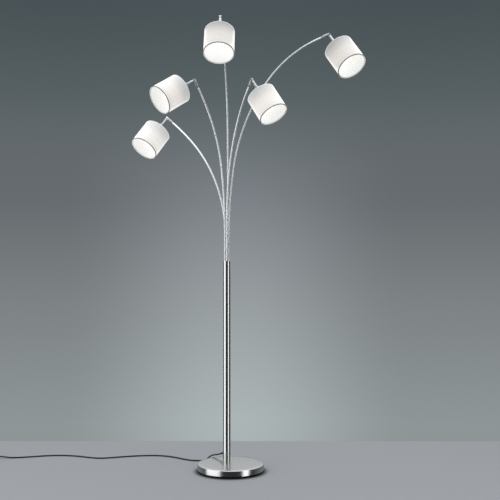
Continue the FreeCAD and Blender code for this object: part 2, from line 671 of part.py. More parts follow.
def switch_shell(low, high, floor, ceiling):
    outside = stadium(SWITCH_LENGTH / 2, SWITCH_WIDTH / 2, SWITCH_CORNER_R, low, high)
    inside = stadium(SWITCH_LENGTH / 2 - SWITCH_WALL, SWITCH_WIDTH / 2 - SWITCH_WALL,
                     SWITCH_CORNER_R - SWITCH_WALL, floor, ceiling)
    return outside, inside


def make_switch_base():
    outside, inside = switch_shell(0, SWITCH_SPLIT, SWITCH_WALL, SWITCH_SPLIT)
    base = outside.cut(inside)
    half = SWITCH_LENGTH / 2
    for low, high in ((half, half + COLLAR_LENGTH), (-half - COLLAR_LENGTH, -half)):
        base = base.fuse(placed(cross_rod(COLLAR_R, low, high), at(SWITCH_X, SWITCH_Y, PORT_Z)))
    return base.removeSplitter()


def make_switch_cover():
    outside, inside = switch_shell(SWITCH_SPLIT, SWITCH_H, SWITCH_SPLIT, SWITCH_H - SWITCH_WALL)
    rim = edges_where(outside, lambda e: abs(e.BoundBox.ZMin - SWITCH_H) < 0.01)
    centre = Vector(SWITCH_X, SWITCH_Y, 0)
    cover = outside.makeFillet(SWITCH_EDGE_R, rim).cut(inside)
    return cover.cut(rod(BUTTON_R + BUTTON_GAP, SWITCH_SPLIT, SWITCH_H, centre))


def make_switch_button():
    centre = Vector(SWITCH_X, SWITCH_Y, 0)
    under = SWITCH_H - SWITCH_WALL - BUTTON_GAP
    top = SWITCH_H + BUTTON_PROUD
    cap = rod(BUTTON_R, under - BUTTON_FLANGE_H, top, centre)
    rim = edges_where(cap, lambda e: abs(e.BoundBox.ZMin - top) < 0.01)
    cap = cap.makeFillet(BUTTON_EDGE_R, rim)
    flange = rod(BUTTON_R + BUTTON_FLANGE_W, under - BUTTON_FLANGE_H, under, centre)
    stem = rod(BUTTON_STEM_R, SWITCH_WALL + BUTTON_TRAVEL + BUTTON_GAP, under, centre)
    return cap.fuse([flange, stem]).removeSplitter()


def coil_point(turned_by):
    """The coil's centre line and direction after a turn in degrees: in on the floor, out on top."""
    half = 360.0 * COIL_TURNS / 2
    radius = COIL_R - COIL_PITCH * (half - abs(half - turned_by)) / 360.0
    drift = COIL_PITCH / (2 * math.pi)
    if turned_by < half:
        drift = -drift
    if turned_by == half:
        drift = 0.0
    climb = min(max((turned_by - half + 90.0) / 180.0, 0.0), 1.0)
    height = COIL_Z + COIL_STEP * (1 - math.cos(math.pi * climb)) / 2
    slope = COIL_STEP / 2 * math.sin(math.pi * climb)
    angle = math.radians(90.0 + turned_by)
    out = Vector(math.cos(angle), math.sin(angle), 0)
    round_about = Vector(-math.sin(angle), math.cos(angle), 0)
    point = Vector(COIL_X, SWITCH_Y - COIL_R, height) + out * radius
    return point, (round_about * radius + out * drift + UP * slope).normalize()


def least_gap(edges):
    """The least gap between turns of the coil's tube, from points along its centre line."""
    points = []
    for edge in edges:
        points += edge.discretize(Distance=2.0)[:-1]
    apart = int(math.pi * COIL_R / 2 / 2.0)
    least = min(
        (points[i] - points[j]).Length for i in range(len(points)) for j in range(i + apart, len(points))
    )
    return least - 2 * CORD_R


def plug_way():
    """The way that the plug points: a little to the rear, so that its pins point past the base."""
    return Vector(math.cos(math.radians(PLUG_TURN)), math.sin(math.radians(PLUG_TURN)), 0)


def coil_run_out():
    """Where the last turn has risen to the plug's height."""
    point, _ = coil_point(360.0 * COIL_TURNS)
    aside = COIL_RUN_OUT * math.tan(math.radians(PLUG_TURN / 2))
    return Vector(COIL_X + COIL_RUN_OUT, point.y + aside, PLUG_Z)


def make_cord_coil():
    way_in = Vector(-1, 0, 0)
    way_out = plug_way()
    start = Vector(SWITCH_X - SWITCH_LENGTH / 2 - COLLAR_LENGTH, SWITCH_Y, PORT_Z)
    straight = 2 * CORD_R
    first = start + way_in * straight
    edges = [Part.LineSegment(start, first).toShape()]
    point, heading = coil_point(0)
    edges += biarc(first, way_in, point, heading)
    for quarter in range(1, int(COIL_TURNS * 4) + 1):
        next_point, next_heading = coil_point(90.0 * quarter)
        edges += biarc(point, heading, next_point, next_heading)
        point, heading = next_point, next_heading
    run_out = coil_run_out()
    edges += biarc(point, heading, run_out, way_out)
    edges.append(Part.LineSegment(run_out, run_out + way_out * straight).toShape())
    solid = piped(edges, CORD_R)
    radii = [edge.Curve.Radius for edge in edges if hasattr(edge.Curve, "Radius")]
    tell_tube("cord_coil", solid, edges, radii)
    print(f"cord_coil: least gap between turns {least_gap(edges):.2f} mm")
    return solid


def coil_end():
    """Where the coil's tube meets the plug."""
    return coil_run_out() + plug_way() * 2 * CORD_R


def make_cord_tie():
    outer = COIL_R - COIL_PITCH * 0.75
    inner = outer - COIL_PITCH
    x_low = COIL_X + inner - CORD_R - TIE_ROOM
    x_high = COIL_X + outer + CORD_R + TIE_ROOM
    z_low = COIL_Z - CORD_R - TIE_GAP
    z_high = COIL_Z + COIL_STEP + CORD_R + TIE_GAP
    y_mid = SWITCH_Y - COIL_R
    y_low, y_high = y_mid - TIE_WIDTH / 2, y_mid + TIE_WIDTH / 2
    band = slab(x_low - TIE_THICK, x_high + TIE_THICK, y_low, y_high, z_low - TIE_THICK, z_high + TIE_THICK)
    long_edges = edges_where(band, lambda e: e.BoundBox.YLength > TIE_WIDTH - 0.01)
    band = band.makeFillet(2 * TIE_THICK, long_edges)
    opening = slab(x_low, x_high, y_low, y_high, z_low, z_high)
    inside_edges = edges_where(opening, lambda e: e.BoundBox.YLength > TIE_WIDTH - 0.01)
    return band.cut(opening.makeFillet(TIE_THICK, inside_edges))


def make_plug_body():
    half = PLUG_BODY / 2
    outline = [
        (0, 0), (PLUG_RELIEF_R, 0), (PLUG_RELIEF_R + 2, PLUG_RELIEF), (PLUG_GRIP_R, PLUG_RELIEF + 4),
        (PLUG_GRIP_R, PLUG_RELIEF + half - 4), (PLUG_R, PLUG_RELIEF + half), (PLUG_R, PLUG_RELIEF + PLUG_BODY - 1),
        (PLUG_R - 1, PLUG_RELIEF + PLUG_BODY), (0, PLUG_RELIEF + PLUG_BODY),
    ]
    body = turned(outline)
    for side in (-1, 1):
        pin = Vector(0, side * PIN_SPACING / 2, 0)
        body = body.cut(rod(PIN_ROOT_R + PLUG_FIT, PLUG_RELIEF + PLUG_BODY - PIN_ROOT, PLUG_RELIEF + PLUG_BODY, pin))
    return placed(body, facing(coil_end(), plug_way(), UP))


def make_plug_pins():
    front = PLUG_RELIEF + PLUG_BODY
    pins = []
    for side in (-1, 1):
        centre = Vector(0, side * PIN_SPACING / 2, 0)
        pin = rod(PIN_R, front, front + PIN_LENGTH, centre)
        tip = edges_where(pin, lambda e: abs(e.BoundBox.ZMin - front - PIN_LENGTH) < 0.01)
        pins.append(pin.makeFillet(PIN_R / 2, tip).fuse(rod(PIN_ROOT_R, front - PIN_ROOT, front, centre)))
    return placed(Part.makeCompound(pins), facing(coil_end(), plug_way(), UP))


# ---------------------------------------------------------------------------------------------------
def make_all():
    parts = {
        "base_cover": make_base_cover(),
        "base_weight": make_base_weight(),
        "base_tray": make_base_tray(),
        "base_pad": make_base_pad(),
        "foot_bolt": make_foot_bolt(),
        "pole": make_pole(),
        "pole_insert": make_pole_insert(),
        "pole_head": make_pole_head(),
        "head_screw": make_head_screw(),
        "terminal_block": make_terminal_block(),
        "pole_lead": make_pole_lead(),
        "cord_grommet": make_cord_grommet(),
        "cord_lead": make_cord_lead(),
        "cord_coil": make_cord_coil(),
        "cord_tie": make_cord_tie(),
        "switch_base": make_switch_base(),
        "switch_cover": make_switch_cover(),
        "switch_button": make_switch_button(),
        "plug_body": make_plug_body(),
        "plug_pins": make_plug_pins(),
    }
    head_pieces = {
        "head_cup": make_head_cup(),
        "lamp_holder": make_lamp_holder(),
        "bulb": make_bulb(),
        "shade_fabric": make_shade_fabric(),
        "shade_frame": make_shade_frame(),
    }
    for name, arm in ARMS.items():
        parts[f"arm_tube_{name}"] = make_arm_tube(arm)
        parts[f"arm_sleeve_{name}"] = make_arm_sleeve(arm)
        parts[f"pivot_screw_{name}"] = make_pivot_screw(arm)
        elbow, _, aim, screw = head_plan(arm)
        for piece, shape in head_pieces.items():
            parts[f"{piece}_{name}"] = placed(shape, facing(elbow, aim, screw))
    return parts


os.makedirs("parts", exist_ok=True)
for node, shape in make_all().items():
    if not shape.isValid():
        print(f"{node} is not valid")
    shape.exportStep(f"parts/{node}.step")
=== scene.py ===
import json
import math

import bmesh
import bpy
from mathutils import Matrix, Vector


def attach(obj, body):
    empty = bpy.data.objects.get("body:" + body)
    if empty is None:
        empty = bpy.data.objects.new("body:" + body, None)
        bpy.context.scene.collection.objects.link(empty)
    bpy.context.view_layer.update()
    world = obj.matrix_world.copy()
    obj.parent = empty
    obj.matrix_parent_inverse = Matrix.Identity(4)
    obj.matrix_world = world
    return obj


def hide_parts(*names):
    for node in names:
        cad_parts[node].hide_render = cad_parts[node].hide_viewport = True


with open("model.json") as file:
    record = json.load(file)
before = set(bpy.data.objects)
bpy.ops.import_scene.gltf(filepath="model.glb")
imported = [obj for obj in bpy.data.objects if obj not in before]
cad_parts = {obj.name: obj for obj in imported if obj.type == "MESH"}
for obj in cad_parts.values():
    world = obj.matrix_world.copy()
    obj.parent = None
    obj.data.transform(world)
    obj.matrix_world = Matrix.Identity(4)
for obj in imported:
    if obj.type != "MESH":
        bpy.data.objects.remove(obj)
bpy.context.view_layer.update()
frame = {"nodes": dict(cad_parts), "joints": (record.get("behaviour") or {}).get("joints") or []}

# ---------------------------------------------------------------------------------------------------
# Camera: stands about four metres in front of the lamp at a child's eye height and looks straight
# ahead, with the picture shifted up a little so that the whole lamp is in it.
EYE = Vector((0.087, -3.925, 0.945))
LENS_MM = 62.5
SENSOR_MM = 36
HORIZON_ROW = 262
PICTURE = 500
FARTHEST = 60

camera = bpy.data.objects.new("camera", bpy.data.cameras.new("camera"))
camera.data.sensor_width = SENSOR_MM
camera.data.lens = LENS_MM
camera.data.shift_y = (HORIZON_ROW - PICTURE / 2) / PICTURE
camera.data.clip_end = FARTHEST
camera.location = EYE
camera.rotation_euler = (math.radians(90), 0, 0)
bpy.context.scene.collection.objects.link(camera)
bpy.context.scene.camera = camera
bpy.context.scene.view_settings.view_transform = "Standard"

# ---------------------------------------------------------------------------------------------------
# Studio: a plain pale floor that ends softly behind the lamp, and a grey surround that is darker high
# up. None of it belongs to the lamp.
FLOOR_SIZE = 7.0
FLOOR_BACK = 0.64
FLOOR_BACK_FADE = 0.03
FLOOR_REACH = 1.5
FLOOR_FADE = 0.4
FLOOR_GREY = (0.283, 0.288, 0.301, 1)
FLOOR_ROUGH = 0.75
# A ring of painted shadow darkens the floor right round the base.
PAINTED_SHADOW_FROM = 0.146
PAINTED_SHADOW_TO = 0.178
PAINTED_SHADOW_GREY = (0.03, 0.03, 0.032, 1)
# The backdrop's colour from straight down at 0, through level at 0.5, to straight up at 1.
SURROUND = (
    (0.0, (0.11, 0.12, 0.13, 1)), (0.41, (0.413, 0.462, 0.468, 1)), (0.478, (0.31, 0.338, 0.35, 1)),
    (0.536, (0.202, 0.222, 0.241, 1)), (0.592, (0.102, 0.125, 0.130, 1)), (0.619, (0.082, 0.102, 0.107, 1)),
    (0.639, (0.070, 0.089, 0.098, 1)), (1.0, (0.045, 0.055, 0.060, 1)))
# It is brightest a little left of the middle and dims to the sides, more so low down.
GLOW_ASIDE = 0.017
GLOW_WIDTH = 0.20
DIMMING_HEIGHTS = (0.05, 0.20)
DIMMING = (0.34, 0.05)
ROOM_GREY = (0.92, 0.97, 1.0, 1)
ROOM_DEPTHS = (-0.3, 0.8)
ROOM_FRONT = 0.03
ROOM_BACK = 0.24
ROOM_HEIGHTS = (0.2, 0.7)
ROOM_TOP = 0.90


def add_node(tree, kind, inputs=None, **settings):
    """A shader node, with its settings and the values or links of its inputs."""
    made = tree.nodes.new(kind)
    for name, value in settings.items():
        setattr(made, name, value)
    for name, value in (inputs or {}).items():
        if isinstance(value, bpy.types.NodeSocket):
            tree.links.new(value, made.inputs[name])
        else:
            made.inputs[name].default_value = value
    return made


def new_tree(name):
    """An empty material and its node tree."""
    material = bpy.data.materials.new(name)
    material.use_nodes = True
    material.node_tree.nodes.clear()
    return material, material.node_tree


def ramp(tree, factor, stops):
    """A colour ramp with (place, colour) stops."""
    made = add_node(tree, "ShaderNodeValToRGB", {"Fac": factor})
    elements = made.color_ramp.elements
    while len(elements) < len(stops):
        elements.new(0.5)
    for element, (place, colour) in zip(elements, stops):
        element.position = place
        element.color = colour
    return made.outputs["Color"]


def math_node(tree, operation, first, second=0.0, third=0.0):
    """One sum, product or comparison, as a node."""
    return add_node(tree, "ShaderNodeMath", {0: first, 1: second, 2: third}, operation=operation).outputs[0]


def fade_node(tree, value, low, high, out_low=0.0, out_high=1.0):
    """Smooth change from one value to another."""
    inputs = {"Value": value, "From Min": low, "From Max": high, "To Min": out_low, "To Max": out_high}
    return add_node(tree, "ShaderNodeMapRange", inputs, interpolation_type="SMOOTHSTEP").outputs["Result"]


def coordinates(tree, kind="Object"):
    """The X, Y and Z sockets of a kind of texture coordinates."""
    place = add_node(tree, "ShaderNodeTexCoord").outputs[kind]
    return add_node(tree, "ShaderNodeSeparateXYZ", {0: place}).outputs


def mix_colour(tree, factor, first, second, blend="MIX"):
    """Two colours mixed."""
    inputs = {"Factor": factor, 6: first, 7: second}
    return add_node(tree, "ShaderNodeMix", inputs, data_type="RGBA", blend_type=blend).outputs[2]


floor_mesh = bmesh.new()
bmesh.ops.create_grid(floor_mesh, x_segments=2, y_segments=2, size=FLOOR_SIZE / 2)
floor = bpy.data.objects.new("studio_floor", bpy.data.meshes.new("studio_floor"))
floor_mesh.to_mesh(floor.data)
bpy.context.scene.collection.objects.link(floor)
# Polished metal mirrors the lights, which reach below the floor, and not the floor.
floor.visible_glossy = False

floor_paint, tree = new_tree("floor_paint")
place = coordinates(tree)
back = fade_node(tree, place["Y"], FLOOR_BACK, FLOOR_BACK + FLOOR_BACK_FADE, 1.0, 0.0)
front = fade_node(tree, place["Y"], -FLOOR_REACH - FLOOR_FADE, -FLOOR_REACH)
aside = math_node(tree, "ABSOLUTE", place["X"])
sides = fade_node(tree, aside, FLOOR_REACH, FLOOR_REACH + FLOOR_FADE, 1.0, 0.0)
shown = math_node(tree, "MULTIPLY", math_node(tree, "MULTIPLY", back, front), sides)
# Right round the base a painted shadow darkens the floor.
squares = math_node(tree, "POWER", place["X"], 2.0), math_node(tree, "POWER", place["Y"], 2.0)
painted_shadow = fade_node(tree, math_node(tree, "SQRT", math_node(tree, "ADD", *squares)), PAINTED_SHADOW_FROM, PAINTED_SHADOW_TO)
grey = mix_colour(tree, painted_shadow, PAINTED_SHADOW_GREY, FLOOR_GREY)
matt = add_node(tree, "ShaderNodeBsdfPrincipled", {"Base Color": grey, "Roughness": FLOOR_ROUGH})
nothing = add_node(tree, "ShaderNodeBsdfTransparent")
both = add_node(tree, "ShaderNodeMixShader", {0: shown, 1: nothing.outputs[0], 2: matt.outputs[0]})
add_node(tree, "ShaderNodeOutputMaterial", {"Surface": both.outputs[0]})
floor.data.materials.append(floor_paint)

world = bpy.data.worlds.new("studio")
bpy.context.scene.world = world
world.use_nodes = True
world.node_tree.nodes.clear()
tree = world.node_tree
heading = coordinates(tree, "Generated")
height = math_node(tree, "MULTIPLY_ADD", heading["Z"], 0.5, 0.5)
off_glow = math_node(tree, "ABSOLUTE", math_node(tree, "ADD", heading["X"], GLOW_ASIDE))
by_height = fade_node(tree, heading["Z"], *DIMMING_HEIGHTS, *DIMMING)
dimming = math_node(tree, "MULTIPLY", fade_node(tree, off_glow, 0.0, GLOW_WIDTH), by_height)
backdrop = add_node(tree, "ShaderNodeBackground", {
    "Color": ramp(tree, height, SURROUND), "Strength": math_node(tree, "SUBTRACT", 1.0, dimming)})
# Only the camera sees the backdrop. The lamp stands in a studio that is dark in front, paler behind it
# and bright overhead.
level = fade_node(tree, heading["Y"], *ROOM_DEPTHS, ROOM_FRONT, ROOM_BACK)
overhead = fade_node(tree, heading["Z"], *ROOM_HEIGHTS, 0.0, ROOM_TOP)
brightness = math_node(tree, "ADD", level, overhead)
room = add_node(tree, "ShaderNodeBackground", {"Color": ROOM_GREY, "Strength": brightness})
seen = add_node(tree, "ShaderNodeLightPath").outputs["Is Camera Ray"]
surround = add_node(tree, "ShaderNodeMixShader", {0: seen, 1: room.outputs[0], 2: backdrop.outputs[0]})
add_node(tree, "ShaderNodeOutputWorld", {"Surface": surround.outputs[0]})


def softbox(name, at, toward, width, height, power):
    """A rectangular studio light that the camera doesn't see but polished metal does."""
    lamp = bpy.data.lights.new(name, "AREA")
    lamp.shape = "RECTANGLE"
    lamp.size = width
    lamp.size_y = height
    lamp.energy = power
    box = bpy.data.objects.new(name, lamp)
    direction = Vector(toward) - Vector(at)
    box.matrix_world = Matrix.Translation(at) @ direction.to_track_quat("-Z", "Y").to_matrix().to_4x4()
    box.visible_camera = False
    bpy.context.scene.collection.objects.link(box)


LIGHTS = {
    "left_box": {"at": (-2.56, -1.39, 0.8), "toward": (0, 0, 0.8), "width": 2.9, "height": 3.4, "power": 53},
    "right_box": {"at": (2.29, -1.73, 0.8), "toward": (0, 0, 0.8), "width": 1.15, "height": 3.4, "power": 25},
    "top_box": {"at": (0.2, -0.6, 3.6), "toward": (0, 0, 0), "width": 2.4, "height": 2.0, "power": 25},
    "rear_box": {"at": (0.3, 3.2, 1.6), "toward": (0, 0, 0.4), "width": 3.0, "height": 1.6, "power": 7},
}
for name, facts in LIGHTS.items():
    softbox(name, **facts)

# ---------------------------------------------------------------------------------------------------
# Mains cord: round two-core flex in a smooth black sheath. It leaves the relief on the pole, drops
# behind the base, lies over the floor to the foot switch, and the rest is coiled beyond it.
CORD_WIDTH = 0.0064
POLE_AXIS = Vector((-0.020, 0.075, 0))
POLE_R = 0.0175
EXIT_Z = 0.064
EXIT_TURN = math.radians(138)
EXIT_DROP = math.radians(20)
EXIT_LEVEL = Vector((math.cos(EXIT_TURN), math.sin(EXIT_TURN), 0))
EXIT_WAY = EXIT_LEVEL * math.cos(EXIT_DROP) - Vector((0, 0, math.sin(EXIT_DROP)))
EXIT_PLACE = POLE_AXIS + EXIT_LEVEL * POLE_R + Vector((0, 0, EXIT_Z))
RELIEF_LENGTH = 0.020
RELIEF_TIP = EXIT_PLACE + EXIT_WAY * RELIEF_LENGTH
FIRST_RUN = 0.027
CORD_ROUTE = [
    (-0.086, 0.137, 0.043), (-0.103, 0.158, 0.030), (-0.117, 0.174, 0.014), (-0.136, 0.187, 0.0045),
    (-0.160, 0.193, 0.0034), (-0.192, 0.196, 0.0033), (-0.232, 0.224, 0.0033), (-0.282, 0.268, 0.0033),
    (-0.345, 0.300, 0.0033), (-0.420, 0.301, 0.0033), (-0.500, 0.284, 0.0033), (-0.575, 0.256, 0.0033),
    (-0.632, 0.238, 0.0033), (-0.690, 0.259, 0.0033), (-0.755, 0.290, 0.0033), (-0.830, 0.305, 0.0033),
    (-0.905, 0.296, 0.0033), (-0.975, 0.272, 0.0033), (-1.038, 0.254, 0.0033), (-1.074, 0.251, 0.0046),
    (-1.102, 0.250, 0.0095),
]
SWITCH_PLACE = Vector((-1.180, 0.250, 0))
SWITCH_PORT = Vector((0.048, 0, 0.0095))
COIL_CENTRE = Vector((-1.262, 0.209, 0))
COIL_R = 0.041
COIL_PITCH = 0.007
COIL_LOW = 0.0044
COIL_STEP = 0.007
COIL_TURNS = 4.5
POINTS_PER_TURN = 16
PLUG_TURN = math.radians(5)
PLUG_WAY = Vector((math.cos(PLUG_TURN), math.sin(PLUG_TURN), 0))
RUN_OUT = Vector((-1.2220, 0.16975, 0.0186))
SWITCH_LEAD = (Vector((-0.009, 0, 0)), Vector((-0.021, 0, -0.0035)))
COIL_LEAD = Vector((0.016, 0, 0.002))
PLUG_LEAD = 0.008


def coil_point(turns):
    """A point of the coil: it winds in on the floor, climbs a layer, and winds out again on top."""
    half = COIL_TURNS / 2
    radius = COIL_R - COIL_PITCH * (half - abs(half - turns))
    climb = min(max((turns - half) * 2 + 0.5, 0.0), 1.0)
    angle = math.radians(90 + 360 * turns)
    level = COIL_LOW + COIL_STEP * (1 - math.cos(math.pi * climb)) / 2
    return COIL_CENTRE + Vector((radius * math.cos(angle), radius * math.sin(angle), level))


def new_group(name, inputs, outputs):
    """A shader node group with named inputs and outputs, and its two end nodes."""
    group = bpy.data.node_groups.new(name, "ShaderNodeTree")
    for label, kind in inputs:
        group.interface.new_socket(label, in_out="INPUT", socket_type=f"NodeSocket{kind}")
    for label, kind in outputs:
        group.interface.new_socket(label, in_out="OUTPUT", socket_type=f"NodeSocket{kind}")
    entry = group.nodes.new("NodeGroupInput").outputs
    return group, entry, group.nodes.new("NodeGroupOutput").inputs


def noise(tree, place, scale, detail=2.0, roughness=0.5):
    """Soft random variation between 0 and 1."""
    inputs = {"Vector": place, "Scale": scale, "Detail": detail, "Roughness": roughness}
    return add_node(tree, "ShaderNodeTexNoise", inputs).outputs[0]


# Moulded plastic and rubber: a fine spark-eroded texture, slow cloudiness and a little dust in it.
CLOUD_SCALE = 42.0
CLOUD_ROUGH = 0.16
DUST_GREY = (0.5, 0.5, 0.48, 1)
DUST_SHARE = 0.06

moulded, entry, out = new_group(
    "moulded_finish", [("Position", "Vector"), ("Grain", "Float"), ("Tint", "Color"), ("Rough", "Float")],
    [("Color", "Color"), ("Roughness", "Float"), ("Height", "Float")])
cloud = noise(moulded, entry["Position"], CLOUD_SCALE, 4.0)
paler = mix_colour(moulded, DUST_SHARE, entry["Tint"], DUST_GREY)
dusty = mix_colour(moulded, fade_node(moulded, cloud, 0.45, 0.75), entry["Tint"], paler)
moulded.links.new(dusty, out["Color"])
uneven = math_node(moulded, "MULTIPLY_ADD", cloud, CLOUD_ROUGH, -CLOUD_ROUGH / 2)
moulded.links.new(math_node(moulded, "ADD", entry["Rough"], uneven), out["Roughness"])
moulded.links.new(noise(moulded, entry["Position"], entry["Grain"], 3.0), out["Height"])


def object_place(tree, centre=(0, 0, 0), stretch=(1, 1, 1)):
    """Object coordinates about a centre, stretched along the axes."""
    place = add_node(tree, "ShaderNodeTexCoord").outputs["Object"]
    shift = [-c * s for c, s in zip(centre, stretch)]
    inputs = {"Vector": place, "Location": shift, "Scale": stretch}
    return add_node(tree, "ShaderNodeMapping", inputs).outputs[0]


def bump_node(tree, height, depth):
    """Turns a height, worth depth in metres, into a normal."""
    return add_node(tree, "ShaderNodeBump", {"Height": height, "Distance": depth, "Strength": 1.0}).outputs[0]


def moulded_paint(name, tint, rough, grain_scale=1600.0, depth=0.00003, gloss=0.5):
    """A moulded plastic or rubber in one colour."""
    material, tree = new_tree(name)
    finish = add_node(tree, "ShaderNodeGroup", node_tree=moulded)
    tree.links.new(object_place(tree), finish.inputs["Position"])
    finish.inputs["Grain"].default_value = grain_scale
    finish.inputs["Tint"].default_value = (*tint, 1)
    finish.inputs["Rough"].default_value = rough
    shader = add_node(tree, "ShaderNodeBsdfPrincipled", {
        "Base Color": finish.outputs["Color"], "Roughness": finish.outputs["Roughness"],
        "Specular IOR Level": gloss, "Normal": bump_node(tree, finish.outputs["Height"], depth)})
    add_node(tree, "ShaderNodeOutputMaterial", {"Surface": shader.outputs[0]})
    return material


route = [RELIEF_TIP, RELIEF_TIP + EXIT_WAY * FIRST_RUN]
route += [Vector(point) for point in CORD_ROUTE]
near_port = SWITCH_PLACE + SWITCH_PORT
far_port = SWITCH_PLACE + Vector((-SWITCH_PORT.x, 0, SWITCH_PORT.z))
route += [near_port, SWITCH_PLACE + Vector((0, 0, SWITCH_PORT.z)), far_port]
route += [far_port + lead for lead in SWITCH_LEAD]
steps = int(COIL_TURNS * POINTS_PER_TURN)
route += [coil_point(step / POINTS_PER_TURN) for step in range(steps + 1)]
route += [coil_point(COIL_TURNS) + COIL_LEAD, RUN_OUT - PLUG_WAY * PLUG_LEAD, RUN_OUT + PLUG_WAY * CORD_WIDTH]

spline_data = bpy.data.curves.new("mains_cord", "CURVE")
spline_data.dimensions = "3D"
spline_data.bevel_depth = CORD_WIDTH / 2
spline_data.bevel_resolution = 6
spline_data.resolution_u = 8
spline_data.use_fill_caps = True
spline = spline_data.splines.new("NURBS")
spline.points.add(len(route) - 1)
for control, point in zip(spline.points, route):
    control.co = (*point, 1)
spline.order_u = 3
spline.use_endpoint_u = True
cord = bpy.data.objects.new("mains_cord", spline_data)
bpy.context.scene.collection.objects.link(cord)

cord_sheath = moulded_paint("cord_sheath", (0.004, 0.004, 0.0045), 0.45, 900.0, 0.00001, 0.25)
spline_data.materials.append(cord_sheath)
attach(cord, "stand")
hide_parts("cord_lead", "cord_coil")

# ---------------------------------------------------------------------------------------------------
# Base: a spun steel cover with a rounded edge, nickel plated and satin-finished on the lathe. A cast
# weight fills it, and a black tray with a foam pad closes it from below.
BASE_R = 0.150
BASE_TOP = 0.035
TOP_RING = 0.02
RIM_LOW = 0.009
COVER_WALL = 0.0015
COVER_EDGE_R = 0.0025
COVER_STEPS = 192


def turned(bm, profile, steps=96, place=None, closed=False):
    """Spins an outline of (radius, height) points about the Z axis, then puts it in its place."""
    before = set(bm.verts)
    verts = [bm.verts.new((radius, 0, height)) for radius, height in profile]
    pairs = list(zip(verts, verts[1:])) + ([(verts[-1], verts[0])] if closed else [])
    edges = [bm.edges.new(pair) for pair in pairs]
    bmesh.ops.spin(bm, geom=verts + edges, cent=(0, 0, 0), axis=(0, 0, 1), angle=2 * math.pi, steps=steps,
                   use_merge=True)
    made = [vert for vert in bm.verts if vert not in before]
    bmesh.ops.remove_doubles(bm, verts=made, dist=1e-7)
    made = [vert for vert in bm.verts if vert not in before]
    bmesh.ops.recalc_face_normals(bm, faces=list({face for vert in made for face in vert.link_faces}))
    if place is not None:
        bmesh.ops.transform(bm, matrix=place, verts=made)
    return made


def finish_piece(bm, name, body, materials, stands_for=(), edge=0.0, crease=35):
    """Makes a mesh one of the lamp's pieces: smooth faces, finely rounded edges, its body and its finish."""
    mesh = bpy.data.meshes.new(name)
    bm.to_mesh(mesh)
    bm.free()
    mesh.shade_smooth()
    mesh.set_sharp_from_angle(angle=math.radians(crease))
    piece = bpy.data.objects.new(name, mesh)
    bpy.context.scene.collection.objects.link(piece)
    for material in materials if isinstance(materials, list) else [materials]:
        mesh.materials.append(material)
    if edge:
        rounding = piece.modifiers.new("edges", "BEVEL")
        rounding.width = edge
        rounding.segments = 2
        rounding.limit_method = "ANGLE"
        rounding.angle_limit = math.radians(crease)
        rounding.harden_normals = True
    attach(piece, body)
    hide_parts(*stands_for)
    return piece


def paint_node(node, material):
    """Gives a CAD node that stays its finish."""
    frame["nodes"][node].material_slots[0].material = material


# Satin nickel plate: fine parallel grain from the abrasive belt, a soft sheen that varies where it was
# handled, and a neutral grey. The arms' nickel is painted lighter, as painted light, and the knuckles'
# and stems' nickel is painted darker, as painted shade.
SMEAR_SCALE = 0.07
GRAIN_SHARE = 0.65
DULLER = (0.95, 0.95, 0.95, 1)
NICKEL = (0.61, 0.615, 0.615)
# Nickel painted lighter, as painted light, and nickel painted darker, as painted shade.
LIT_NICKEL = (0.93, 0.95, 0.97)
SHADED_NICKEL = (0.42, 0.43, 0.44)

satin, entry, out = new_group(
    "satin_finish",
    [("Position", "Vector"), ("Grain", "Float"), ("Tint", "Color"), ("Rough", "Float"), ("Spread", "Float")],
    [("Color", "Color"), ("Roughness", "Float"), ("Height", "Float")])
grain = noise(satin, entry["Position"], entry["Grain"], 4.0, 0.6)
smear = noise(satin, entry["Position"], math_node(satin, "MULTIPLY", entry["Grain"], SMEAR_SCALE), 3.0)
both = math_node(satin, "ADD", math_node(satin, "MULTIPLY", grain, GRAIN_SHARE),
                 math_node(satin, "MULTIPLY", smear, 1 - GRAIN_SHARE))
duller = mix_colour(satin, 1.0, entry["Tint"], DULLER, "MULTIPLY")
satin.links.new(mix_colour(satin, fade_node(satin, both, 0.35, 0.65), duller, entry["Tint"]), out["Color"])
swing = math_node(satin, "MULTIPLY", math_node(satin, "SUBTRACT", both, 0.5), entry["Spread"])
satin.links.new(math_node(satin, "ADD", entry["Rough"], swing), out["Roughness"])
satin.links.new(both, out["Height"])


def metal_paint(name, position, grain_scale, rough, spread, depth, tint=NICKEL):
    """A satin metal; position(tree) gives the coordinates that its grain follows."""
    material, tree = new_tree(name)
    finish = add_node(tree, "ShaderNodeGroup", node_tree=satin)
    tree.links.new(position(tree), finish.inputs["Position"])
    for label, value in (("Grain", grain_scale), ("Tint", (*tint, 1)), ("Rough", rough), ("Spread", spread)):
        finish.inputs[label].default_value = value
    shader = add_node(tree, "ShaderNodeBsdfPrincipled", {
        "Base Color": finish.outputs["Color"], "Metallic": 1.0, "Roughness": finish.outputs["Roughness"],
        "Normal": bump_node(tree, finish.outputs["Height"], depth)})
    add_node(tree, "ShaderNodeOutputMaterial", {"Surface": shader.outputs[0]})
    return material


LATHE_STRETCH = 0.002


def lathe_grain(tree):
    """Coordinates that run in circles round the base's centre."""
    x, y, z = coordinates(tree)
    squares = math_node(tree, "MULTIPLY", x, x), math_node(tree, "MULTIPLY", y, y)
    radius = math_node(tree, "SQRT", math_node(tree, "ADD", *squares))
    drawn = math_node(tree, "MULTIPLY", math_node(tree, "ARCTAN2", y, x), LATHE_STRETCH)
    return add_node(tree, "ShaderNodeCombineXYZ", {"X": radius, "Y": drawn, "Z": z}).outputs[0]


